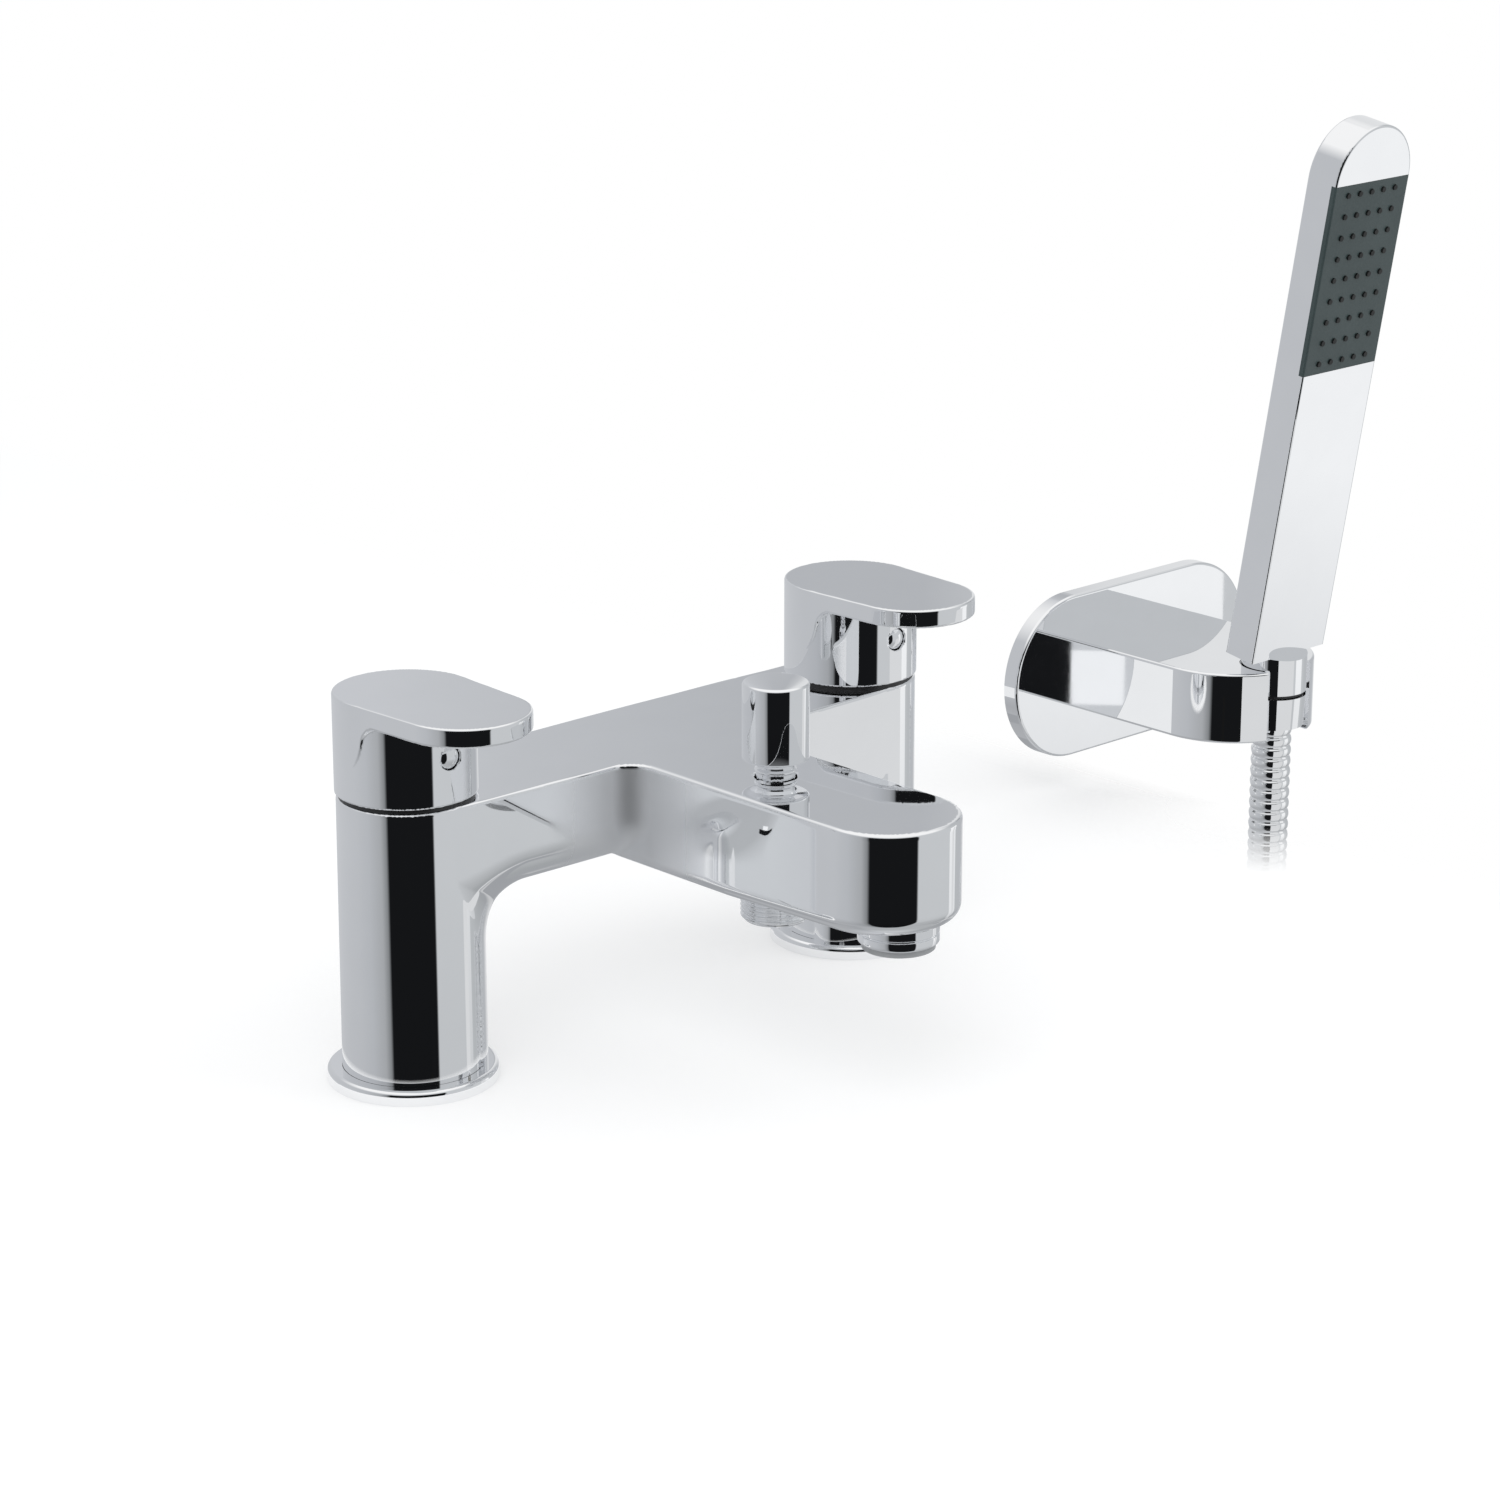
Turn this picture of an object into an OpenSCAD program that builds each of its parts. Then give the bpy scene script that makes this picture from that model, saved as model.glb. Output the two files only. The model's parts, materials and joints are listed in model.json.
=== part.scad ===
// Bath shower mixer for two deck holes: two lever valves, a flat spout with a pull-up diverter,
// and a flat handset on a hose, resting in a holder on the wall.
// Millimetres. X runs from the hot pillar to the cold one, the spout points to -Y, Z is up.
// The origin is on the deck, midway between the pillars.

/* [Body] */
// Distance between the hot and cold pillar axes
inlet_pitch = 180; // [176:1:190]
// Height of the flat top of pillars, bridge and spout
top_z = 87.9; // [87.5:0.1:89]
// Radius of a pillar at its foot
pillar_foot_r = 21; // [20.8:0.1:21]
// Radius of a pillar at its top
pillar_top_r = 20.6; // [20.4:0.1:20.8]
// Half of the bridge's width at its middle
bridge_half = 22.3; // [21.9:0.1:22.8]
// Height of the bridge's flat underside
bridge_low_z = 56.2; // [55:0.2:57]
// Radius along the bridge's lower edges
bridge_edge_r = 13.8; // [12:0.2:14]
// Radius of the fillet between a pillar and the bridge's underside
arch_r = 15; // [12:1:16]

/* [Spout] */
// Half of the spout's width, and the radius of its round tip
spout_half = 21.8; // [21.4:0.1:22]
// Distance from the pillars' plane to the centre of the round tip
spout_reach = 107.4; // [106:0.2:109]
// Height of the spout's underside where it leaves the bridge
spout_low_z = 54.5; // [54.3:0.1:55]
// Height of the spout's underside at its tip
spout_tip_low_z = 57.9; // [56.5:0.1:58]
// Distance from the pillars' plane to the aerator's axis
aerator_reach = 112.6; // [111.5:0.1:113]
// Radius of the aerator's collar
aerator_r = 12; // [11.6:0.1:12.2]
// Distance from the pillars' plane to the diverter's axis
diverter_reach = 60.9; // [60:0.1:62]
// Travel of the diverter from spout to handset
diverter_lift = 5.9; // [5:0.1:5.9]
// Radius of the diverter's knob
knob_r = 10; // [9:0.5:11]

/* [Handles] */
// Height of the flat top of the handles
handle_top_z = 119.4; // [118:0.2:122]
// Radius of the handle round the pillar's axis
handle_r = 21; // [20.8:0.1:21.4]
// Radius of the lever's front end
lever_tip_r = 19.6; // [18:0.2:20.4]
// Distance from the pillar's axis to the centre of the lever's front end
lever_reach = 27.3; // [25:0.1:30]
// Thickness of the lever in front of the handle's skirt
lever_thick = 5.8; // [5:0.2:7]

/* [Deck] */
// Thickness of the deck that the backnuts clamp
deck_thick = 18; // [10:1:24]
// Outer radius of a deck flange
flange_r = 25.5; // [25:0.1:27]
// Height of a deck flange
flange_high = 4.4; // [4:0.1:5]

/* [Handset and holder] */
// Distance along X from the middle of the mixer to the holder
holder_x = 285; // [260:5:400]
// Wall surface behind the holder, measured from the pillars' plane
wall_y = 60; // [50:1:62]
// Height of the middle of the wall plate
plate_z = 42; // [42:1:42]
// Length of the wall plate
plate_long = 121; // [112:1:130]
// Height of the wall plate
plate_high = 59; // [59:0.5:62]
// Height of the holder's arm
arm_high = 25; // [25:1:25]
// Length of the handset's flat bar
bar_long = 190; // [180:1:210]
// Width of the handset's flat bar
bar_wide = 38; // [36:1:42]
// Thickness of the handset's flat bar
bar_thick = 12.5; // [12:0.5:14]
// Lean of the handset's bar away from the wall, in degrees
bar_lean = 9.5; // [0:0.5:12]

/* [Hose] */
// Outside diameter of the hose
hose_d = 14; // [13.6:0.2:14]
// Centreline radius of the tied coil
coil_r = 70; // [70:1:84]
// Turns in the tied coil
coil_turns = 3; // [3:1:3]
// Height of the coil's centre
coil_z = -130; // [-150:1:-130]

/* [Hidden] */
$fn = 96;
// Running clearance of a shaft in its bearing, clearance of fixed fits and of free moving faces
run_gap = 0.05;
fit_gap = 0.1;
free_gap = 0.3;
// A cut reaches this far past the face that it opens
past = 1;

// Pillars and their deck seals
pillar_x = inlet_pitch / 2;
pillar_low_z = 1.2;
seal_in_r = 13.6;

// Inlet tails: G3/4 shank, its backnut and washers
tail_r = 13.2;
tail_bore_r = 9.5;
tail_low_z = -58;
tail_high_z = 20;
tail_pitch = 1.814;
tail_root_r = 12.1;
shank_r = tail_r - 0.2;
tail_plain_z = -deck_thick - 6;
spigot_top_z = tail_low_z + 12;
nut_flats = 36;
nut_high = 9;
washer_r = 20;
rubber_high = 3;
metal_high = 2;

// Waterways in the body
wall_low = 5.5;
cavity_top_z = top_z - 5.9;
bridge_cavity_half = 16;
bridge_cavity_low_z = bridge_low_z + wall_low;
spout_cavity_half = 16.5;
spout_cavity_low_z = bridge_cavity_low_z + 0.6;
seat_z = 57;
valve_bore_r = 10.5;
inlet_hole_r = 5.5;
riser_r = 15;
riser_top_z = 50;
port_r = 5.5;
port_z = 70;

// Valve cartridge
cage_r = 8.4;
cage_in_r = 7.2;
cage_low_z = seat_z + 1.5;
thread_low_z = 76;
collar_r = 13.5;
collar_high = 3.1;
hex_flats = 17;
hex_high = 5;
sleeve_r = 7.5;
sleeve_top_z = top_z + 9.6;
stem_r = 4;
stem_top_z = 109;
disc_low_z = 59.5;
disc_high = 2.5;
window_low_z = 67.5;
window_high = 7.5;
window_wide = 7;

// Handle
glide_high = 1.2;
glide_gap = 0.2;
skirt_low_z = top_z + glide_high + glide_gap;
skirt_in_r = 18.5;
skirt_roof_z = 111;
boss_r = 7.5;
boss_low_z = sleeve_top_z + 0.5;
lever_low_z = handle_top_z - lever_thick;
cap_z = 103.3;
cap_r = 3.5;
cap_depth = 2.6;
grub_r = 2.5;

// Diverter
knob_low_z = 93.3;
knob_top_z = 117.4;
knob_dome_r = 70;
neck_r = 5.85;
neck_hole_r = 6.3;
chamber_r = 9.5;
chamber_low_z = 61;
valve_seal_high = 1.2;
valve_disc_r = 7;
valve_disc_top_z = chamber_low_z + 3.5;
chamber_top_z = 78.5;
bush_low_z = valve_disc_top_z + diverter_lift + fit_gap;
bush_cavity_low_z = bush_low_z + 1.5;
bush_cavity_top_z = 76.5;
bush_seat_r = 5.5;
bush_cavity_r = 7;
rod_r = 3;
rod_top_z = 86;
spring_r = 4.5;
spring_wire_r = 0.35;
spring_turns = 6;
outlet_bore_r = 10.3;
supply_hole_r = 3.9;
supply_hole_z = 66.4;
spout_hole_r = 3.2;
spout_hole_z = 74.5;

// Shower outlet with a G1/2 male end
outlet_r = 10.48;
outlet_low_z = 43.5;
outlet_collar_r = 12;
outlet_collar_low_z = 51.8;
outlet_in_r = 7;

// Aerator
aerator_low_z = 48.4;
aerator_collar_low_z = 50.2;
aerator_collar_top_z = 56.3;
aerator_bore_r = 11.05;
aerator_neck_top_z = 67.5;
aerator_neck_in_r = 9.7;
aerator_chamber_top_z = 78.5;
aerator_chamber_r = 8.5;

// Wall plate and holder arm
plate_thick = 6;
plate_front_y = wall_y - plate_thick;
plate_recess = 3.2;
plate_rim = 3;
fixing_thick = 2.7;
fixing_hole_pitch = 80;
fixing_hole_r = 2.6;
arm_half = 29.6;
arm_straight = 45;
arm_wall = 3.6;
arm_tip_y = plate_front_y - arm_straight;
cradle_y = plate_front_y - 65.5;
cradle_r = 12;
cradle_top_r = 11.8;
cradle_low_r = 10.8;
cradle_mouth_half = 11;
arm_low_z = plate_z - arm_high / 2;
arm_top_z = plate_z + arm_high / 2;
cradle_cone_z = arm_top_z - 9.5;
arm_screw_x = 18;
arm_screw_r = 2;
arm_screw_long = 10;

// Handset
neck_top_z = 60;
grip_r = 11.4;
grip_low_z = 45.6;
ring_low_z = 44.4;
ring_r = 10.4;
swivel_r = 8.6;
swivel_low_z = 38;
swivel_bore_r = 9;
water_r = 5;
panel_long = 66;
panel_deep = 2;
nozzle_columns = 5;
nozzle_rows = 9;
nozzle_pitch_x = 6;
nozzle_pitch_z = 7.35;
nozzle_r = 0.9;
nozzle_out = 0.6;
bar_wall = 2.4;
bar_arc_z = bar_long - bar_wide / 2;
panel_low_z = bar_arc_z - panel_long;

// Hose nut at the handset and the free end's nut
hose_nut_low_z = 33;
hose_nut_top_z = 44.2;
cone_slope = (cradle_top_r - cradle_low_r) / (cradle_cone_z - arm_low_z);
hose_bore_r = 4.5;
end_nut_r = 12.5;
end_nut_high = 24;
end_nut_thread_r = outlet_r + run_gap;
end_nut_thread_deep = 11;
end_washer_r = end_nut_thread_r + 0.4;
end_washer_high = 2;

// Hose route: straight down from the nut, a tied coil of round turns, and a straight tail
hose_r = hose_d / 2;
rib_count = 42;
rib_root_r = hose_r - 0.9;
run_low_z = coil_z + hose_d;
coil_steps = 24;
coil_sides = 6;
coil_pitch = hose_d + 0.6;
coil_side_step = 8;
tail_long = 30;
tie_wide = 5;
tie_thick = 1.2;

// Ring between two heights
module ring(r_out, r_in, z_low, z_top) {
    translate([0, 0, z_low])
        difference() {
            cylinder(r = r_out, h = z_top - z_low);
            translate([0, 0, -past])
                cylinder(r = r_in, h = z_top - z_low + 2 * past);
        }
}

// Solid round bar between two heights
module rod(r, z_low, z_top) {
    translate([0, 0, z_low])
        cylinder(r = r, h = z_top - z_low);
}

// Round bar along Y between two places, at a height
module rod_y(r, y_low, y_high, z) {
    translate([0, y_high, z])
        rotate([90, 0, 0])
            cylinder(r = r, h = y_high - y_low);
}

// A drawing in the YZ plane, drawn as (y, z), extruded along X about the middle
module along_x(width) {
    translate([-width / 2, 0, 0])
        rotate([90, 0, 90])
            linear_extrude(width)
                children();
}

// A drawing in the XZ plane, drawn as (x, z), extruded from y_start towards -Y
module towards_front(y_start, length) {
    translate([0, y_start, 0])
        rotate([90, 0, 0])
            linear_extrude(length)
                children();
}

// Half of a slab's section, from its middle plane outwards, with soft upper and, if wanted, lower edges
module soft_section(half, thick, edge, both) {
    difference() {
        square([half, thick]);
        for (side = both ? [0, 1] : [1])
            translate([half - edge, side * (thick - edge) + (1 - side) * edge])
                difference() {
                    translate([0, side == 1 ? 0 : -edge - past])
                        square([edge + past, edge + past]);
                    circle(edge, $fn = 48);
                }
    }
}

// Round disc with soft edges
module soft_disc(r, thick, edge, both = true) {
    rotate_extrude()
        soft_section(r, thick, edge, both);
}

// Slab along -Y with soft edges on both sides, or on its right side alone
module soft_slab(half, length, thick, edge, both = true, sides = [0, 1]) {
    rotate([90, 0, 0])
        linear_extrude(length)
            for (side = sides)
                mirror([side, 0])
                    soft_section(half, thick, edge, both);
}

// Outline of a long round-ended plate
module stadium(length, height) {
    square([length - height, height], center = true);
    for (side = [-1, 1])
        translate([side * (length - height) / 2, 0])
            circle(height / 2);
}

// Outline round two circles of different size, the second one in front of the first
module lever_outline(r_back, r_front, reach) {
    taper = asin((r_back - r_front) / reach);
    circle(r_back);
    translate([0, -reach])
        circle(r_front);
    polygon([
        [r_back * cos(taper), -r_back * sin(taper)],
        [-r_back * cos(taper), -r_back * sin(taper)],
        [-r_front * cos(taper), -reach - r_front * sin(taper)],
        [r_front * cos(taper), -reach - r_front * sin(taper)]]);
}

module at_hot() {
    translate([-pillar_x, 0, 0])
        children();
}

module at_cold() {
    translate([pillar_x, 0, 0])
        children();
}

module at_diverter() {
    translate([0, -diverter_reach, 0])
        children();
}

module at_aerator() {
    translate([0, -aerator_reach, 0])
        children();
}

module at_cradle() {
    translate([holder_x, cradle_y, 0])
        children();
}

// The handset bar's own frame: its bottom face is z = 0 and its spray face looks to -Y
module at_bar() {
    translate([holder_x, cradle_y, neck_top_z])
        rotate([bar_lean, 0, 0])
            children();
}

// Bridge outline from above: two shallow arcs that meet the pillars' width
module bridge_plan() {
    ease = bridge_half - pillar_top_r - fit_gap;
    arc_r = (pillar_x * pillar_x + ease * ease) / (2 * ease);
    intersection() {
        translate([0, bridge_half - arc_r])
            circle(arc_r, $fn = 1440);
        translate([0, arc_r - bridge_half])
            circle(arc_r, $fn = 1440);
        square([inlet_pitch, 4 * bridge_half], center = true);
    }
}

// Bridge section across Y, with round lower edges
module bridge_section() {
    edge_y = bridge_half - bridge_edge_r;
    translate([-bridge_half, bridge_low_z + bridge_edge_r])
        square([2 * bridge_half, top_z - bridge_low_z - bridge_edge_r]);
    translate([-edge_y, bridge_low_z])
        square([2 * edge_y, bridge_edge_r + past]);
    for (side = [-1, 1])
        translate([side * edge_y, bridge_low_z + bridge_edge_r])
            circle(bridge_edge_r);
}

// Concave fillet round a pillar, under the bridge
module arch_fillet() {
    centre_r = pillar_foot_r - fit_gap + arch_r;
    centre_z = bridge_low_z - arch_r;
    rotate_extrude()
        difference() {
            translate([pillar_top_r - past, centre_z])
                square([centre_r - pillar_top_r + past, arch_r + bridge_edge_r]);
            translate([centre_r, centre_z])
                circle(arch_r);
        }
}

// Half of the spout's section, from its middle plane outwards
module spout_half_section(half) {
    low_r = 5;
    high_r = 1.4;
    difference() {
        translate([0, spout_low_z])
            square([half, top_z - spout_low_z]);
        translate([half - low_r, spout_low_z])
            difference() {
                translate([0, -past])
                    square([low_r + past, low_r + past]);
                translate([0, low_r])
                    circle(low_r);
            }
        translate([half - high_r, top_z - high_r])
            difference() {
                square([high_r + past, high_r + past]);
                circle(high_r);
            }
    }
}

// Spout with a round tip, its underside rising towards the tip
module spout_solid() {
    rise_start_y = -diverter_reach;
    tip_y = -spout_reach - spout_half;
    difference() {
        union() {
            towards_front(-10, spout_reach - 10) {
                spout_half_section(spout_half);
                mirror([1, 0])
                    spout_half_section(spout_half);
            }
            translate([0, -spout_reach, 0])
                rotate_extrude()
                    spout_half_section(spout_half);
        }
        along_x(4 * spout_half)
            polygon([[rise_start_y, spout_low_z],
                [tip_y - past, spout_tip_low_z],
                [tip_y - past, spout_low_z - past],
                [rise_start_y, spout_low_z - past]]);
    }
}

// Upright fillets in the two corners between bridge and spout
module corner_fillets() {
    corner_r = 8;
    corner_low_z = bridge_low_z + bridge_edge_r;
    translate([0, 0, corner_low_z])
        linear_extrude(top_z - corner_low_z)
            for (side = [-1, 1])
                difference() {
                    translate([side * (spout_half + corner_r / 2 - past), -bridge_half - corner_r / 2 + past])
                        square([corner_r + 2 * past, corner_r + 2 * past], center = true);
                    translate([side * (spout_half + corner_r), -bridge_half - corner_r])
                        circle(corner_r);
                    translate([side * (spout_half + 2 * corner_r), -bridge_half - corner_r])
                        square([2 * corner_r, 4 * corner_r], center = true);
                    translate([side * (spout_half + corner_r), -bridge_half - 2 * corner_r])
                        square([4 * corner_r, 2 * corner_r], center = true);
                }
}

// Everything bored out of a pillar, from the tail's thread up to the valve's seat
module pillar_bores() {
    rod(tail_r + fit_gap, -past, tail_high_z);
    rod(riser_r, tail_high_z - past / 2, riser_top_z);
    rod(inlet_hole_r, riser_top_z - past, seat_z + past);
    rod(valve_bore_r, seat_z, top_z + past);
}

// Closed waterways inside bridge and spout
module waterways() {
    port_reach = pillar_x - 70;
    cavity_half_x = 70;
    wall_front_y = -diverter_reach - 14.6;
    wall_back_y = -diverter_reach + 14.9;
    aerator_wall_y = -aerator_reach + 14.6;
    translate([-cavity_half_x, -bridge_cavity_half, bridge_cavity_low_z])
        cube([2 * cavity_half_x, 2 * bridge_cavity_half, cavity_top_z - bridge_cavity_low_z]);
    translate([-spout_cavity_half, wall_back_y, spout_cavity_low_z])
        cube([2 * spout_cavity_half, -wall_back_y, cavity_top_z - spout_cavity_low_z]);
    translate([-spout_cavity_half, aerator_wall_y, spout_cavity_low_z])
        cube([2 * spout_cavity_half, wall_front_y - aerator_wall_y, cavity_top_z - spout_cavity_low_z]);
    for (side = [-1, 1])
        translate([side * (pillar_x - port_reach / 2), 0, port_z])
            rotate([0, 90, 0])
                cylinder(r = port_r, h = port_reach + 2 * past, center = true);
    rod_y(supply_hole_r, -diverter_reach, wall_back_y + past, supply_hole_z);
    rod_y(spout_hole_r, wall_front_y - past, -diverter_reach, spout_hole_z);
    rod_y(spout_hole_r, -aerator_reach, aerator_wall_y + past, spout_hole_z);
}

// Cast body: two pillars, bridge and spout, with seats for valves, diverter, outlet and aerator
module mixer_body() {
    color("silver")
        difference() {
            union() {
                for (side = [-1, 1])
                    translate([side * pillar_x, 0, pillar_low_z])
                        cylinder(r1 = pillar_foot_r, r2 = pillar_top_r, h = top_z - pillar_low_z);
                intersection() {
                    linear_extrude(top_z)
                        bridge_plan();
                    along_x(inlet_pitch)
                        bridge_section();
                }
                intersection() {
                    for (side = [-1, 1])
                        translate([side * pillar_x, 0, 0])
                            arch_fillet();
                    linear_extrude(top_z)
                        bridge_plan();
                }
                spout_solid();
                corner_fillets();
                at_aerator()
                    rod(aerator_r + 0.4, aerator_collar_top_z, aerator_collar_top_z + 4);
            }
            for (side = [-1, 1])
                translate([side * pillar_x, 0, 0])
                    pillar_bores();
            waterways();
            at_diverter() {
                rod(outlet_bore_r, spout_low_z - past, chamber_low_z);
                rod(chamber_r, chamber_low_z - past, chamber_top_z);
                rod(neck_hole_r, chamber_top_z - past, top_z + past);
            }
            at_aerator() {
                rod(aerator_bore_r, aerator_collar_top_z - past, aerator_neck_top_z + 1.5);
                rod(aerator_chamber_r, aerator_neck_top_z, aerator_chamber_top_z);
            }
        }
}

// Deck flange with a soft outer edge
module flange() {
    edge = 1.6;
    color("silver")
        rotate_extrude()
            difference() {
                union() {
                    translate([pillar_foot_r + fit_gap, 0])
                        square([flange_r - edge - pillar_foot_r - fit_gap, flange_high]);
                    translate([pillar_foot_r + fit_gap, 0])
                        square([flange_r - pillar_foot_r - fit_gap, flange_high - edge]);
                    translate([flange_r - edge, flange_high - edge])
                        circle(edge);
                }
                translate([0, flange_high])
                    square([2 * flange_r, past * 2]);
            }
}

module hot_flange() {
    at_hot()
        flange();
}

module cold_flange() {
    at_cold()
        flange();
}

// Deck seal under a pillar
module deck_seal() {
    color("dimgray")
        ring(pillar_foot_r, seal_in_r, 0, pillar_low_z);
}

module hot_seal() {
    at_hot()
        deck_seal();
}

module cold_seal() {
    at_cold()
        deck_seal();
}

// Inlet tail: a shank with thread rings for the backnut, and a spigot for the supply pipe's nut
module inlet_tail() {
    rings = floor((tail_plain_z - spigot_top_z) / tail_pitch);
    color("goldenrod")
        difference() {
            rotate_extrude()
                polygon(concat(
                    [[0, tail_low_z], [tail_r, tail_low_z], [tail_r, spigot_top_z], [tail_root_r, spigot_top_z]],
                    [for (i = [0 : rings - 1]) each [
                        [shank_r, spigot_top_z + (i + 0.5) * tail_pitch],
                        [tail_root_r, spigot_top_z + (i + 1) * tail_pitch]]],
                    [[shank_r, spigot_top_z + (rings + 0.5) * tail_pitch],
                        [shank_r, tail_high_z], [0, tail_high_z]]));
            rod(tail_bore_r, tail_low_z - past, tail_high_z + past);
        }
}

module hot_tail() {
    at_hot()
        inlet_tail();
}

module cold_tail() {
    at_cold()
        inlet_tail();
}

// Rubber washer against the underside of the deck
module rubber_washer() {
    color("dimgray")
        ring(washer_r, tail_r + fit_gap, -deck_thick - rubber_high, -deck_thick);
}

module hot_rubber_washer() {
    at_hot()
        rubber_washer();
}

module cold_rubber_washer() {
    at_cold()
        rubber_washer();
}

// Metal washer between rubber and backnut
module clamp_washer() {
    high_z = -deck_thick - rubber_high;
    color("lightgray")
        ring(washer_r, tail_r + fit_gap, high_z - metal_high, high_z);
}

module hot_clamp_washer() {
    at_hot()
        clamp_washer();
}

module cold_clamp_washer() {
    at_cold()
        clamp_washer();
}

// Backnut that clamps the deck
module backnut() {
    high_z = -deck_thick - rubber_high - metal_high;
    color("goldenrod")
        difference() {
            translate([0, 0, high_z - nut_high])
                cylinder(r = nut_flats / 2 / cos(30), h = nut_high, $fn = 6);
            rod(tail_r + fit_gap, high_z - nut_high - past, high_z + past);
        }
}

module hot_backnut() {
    at_hot()
        backnut();
}

module cold_backnut() {
    at_cold()
        backnut();
}

// Quarter-turn cartridge: a slotted cage, a threaded part, a collar, a hexagon and a sleeve
module cartridge() {
    color("goldenrod")
        difference() {
            union() {
                rod(cage_r, cage_low_z, thread_low_z);
                rod(valve_bore_r - fit_gap, thread_low_z - past, top_z);
                rod(collar_r, top_z, top_z + collar_high);
                translate([0, 0, top_z + collar_high - past])
                    cylinder(r = hex_flats / 2 / cos(30), h = hex_high + past, $fn = 6);
                rod(sleeve_r, top_z + collar_high, sleeve_top_z);
            }
            rod(cage_in_r, cage_low_z - past, thread_low_z + 4);
            rod(stem_r + run_gap, thread_low_z, sleeve_top_z + past);
            for (turn = [0, 90])
                rotate([0, 0, turn])
                    translate([-collar_r, -window_wide / 2, window_low_z])
                        cube([2 * collar_r, window_wide, window_high]);
        }
}

module hot_cartridge() {
    at_hot()
        cartridge();
}

module cold_cartridge() {
    at_cold()
        cartridge();
}

// Rubber seal between the valve's seat and the cage
module seat_seal() {
    color("dimgray")
        ring(cage_r, inlet_hole_r, seat_z, cage_low_z);
}

module hot_seat_seal() {
    at_hot()
        seat_seal();
}

module cold_seat_seal() {
    at_cold()
        seat_seal();
}

// Half-moon port shared by both ceramic discs
module disc_port() {
    port = 5;
    difference() {
        circle(port);
        translate([-2 * port, -1.2])
            square([4 * port, 2 * port]);
    }
}

// Ceramic disc that stays still in the cage, with a half-moon port
module fixed_disc() {
    color("white")
        translate([0, 0, disc_low_z])
            linear_extrude(disc_high)
                difference() {
                    circle(cage_in_r - fit_gap);
                    disc_port();
                }
}

module hot_fixed_disc() {
    at_hot()
        fixed_disc();
}

module cold_fixed_disc() {
    at_cold()
        fixed_disc();
}

// Low-friction ring between a pillar and its handle
module glide_ring() {
    color("black")
        ring(pillar_top_r - 0.6, collar_r + 2, top_z, top_z + glide_high);
}

module hot_glide_ring() {
    at_hot()
        glide_ring();
}

module cold_glide_ring() {
    at_cold()
        glide_ring();
}

// Ceramic disc that turns with the stem; its port faces away from the fixed one when shut
module moving_disc() {
    color("white")
        translate([0, 0, disc_low_z + disc_high + run_gap])
            linear_extrude(disc_high)
                rotate(180)
                    difference() {
                        circle(cage_in_r - 0.4);
                        disc_port();
                    }
}

module hot_moving_disc() {
    at_hot()
        moving_disc();
}

module cold_moving_disc() {
    at_cold()
        moving_disc();
}

// Valve stem with the driving plate on the moving disc
module valve_stem() {
    plate_low_z = disc_low_z + 2 * disc_high + run_gap;
    color("goldenrod") {
        rod(cage_in_r - 0.7, plate_low_z, plate_low_z + 2);
        rod(stem_r, plate_low_z, stem_top_z);
    }
}

module hot_stem() {
    at_hot()
        valve_stem();
}

module cold_stem() {
    at_cold()
        valve_stem();
}

// Side view of the room under the lever: it sweeps from the skirt's foot up to the flat underside
module lever_sweep() {
    polygon([
        [handle_r, skirt_low_z - past],
        [0.45 * handle_r, skirt_low_z + 1.5],
        [-0.14 * handle_r, skirt_low_z + 11.5],
        [-0.33 * handle_r, skirt_low_z + 21.5],
        [-0.45 * handle_r, lever_low_z - 1],
        [-0.59 * handle_r, lever_low_z],
        [-0.59 * handle_r, handle_top_z],
        [-3 * handle_r, handle_top_z],
        [-3 * handle_r, skirt_low_z - past]]);
}

// Flat lever with soft edges: a round front end and two straight sides that run on from the skirt
module lever_blade(edge) {
    taper = asin((handle_r - lever_tip_r) / lever_reach);
    translate([0, -lever_reach, 0])
        soft_disc(lever_tip_r, lever_thick, edge);
    rotate([0, 0, -taper])
        soft_slab(handle_r, lever_reach * cos(taper), lever_thick, edge, sides = [0]);
    rotate([0, 0, taper])
        soft_slab(handle_r, lever_reach * cos(taper), lever_thick, edge, sides = [1]);
}

// Lever handle: a hollow skirt round the valve, and a flat lever to the front
module handle() {
    edge = 0.8;
    color("silver")
        difference() {
            union() {
                translate([0, 0, skirt_low_z])
                    soft_disc(handle_r, handle_top_z - skirt_low_z, edge, false);
                translate([0, 0, lever_low_z])
                    lever_blade(edge);
                difference() {
                    translate([0, 0, skirt_low_z])
                        linear_extrude(handle_top_z - edge - skirt_low_z)
                            lever_outline(handle_r, lever_tip_r, lever_reach);
                    along_x(6 * handle_r)
                        lever_sweep();
                }
            }
            difference() {
                rod(skirt_in_r, skirt_low_z - past, skirt_roof_z);
                rod(boss_r, boss_low_z, skirt_roof_z + past);
                intersection() {
                    rod_y(cap_r + 1.5, -handle_r, 0, cap_z);
                    rod(handle_r, skirt_low_z, handle_top_z);
                }
            }
            rod(stem_r + fit_gap, boss_low_z - past, stem_top_z + past / 2);
            rod_y(grub_r + fit_gap, -handle_r, 0, cap_z);
            rod_y(cap_r + fit_gap, -handle_r - past, -handle_r + cap_depth, cap_z);
        }
}

module hot_handle() {
    at_hot()
        handle();
}

module cold_handle() {
    at_cold()
        handle();
}

// Headless screw that clamps the handle to the stem
module grub_screw() {
    socket_r = 1.4;
    color("gray")
        difference() {
            rod_y(grub_r, -15, -stem_r, cap_z);
            rod_y(socket_r, -15 - past, -12, cap_z, $fn = 6);
        }
}

module hot_grub_screw() {
    at_hot()
        grub_screw();
}

module cold_grub_screw() {
    at_cold()
        grub_screw();
}

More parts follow.
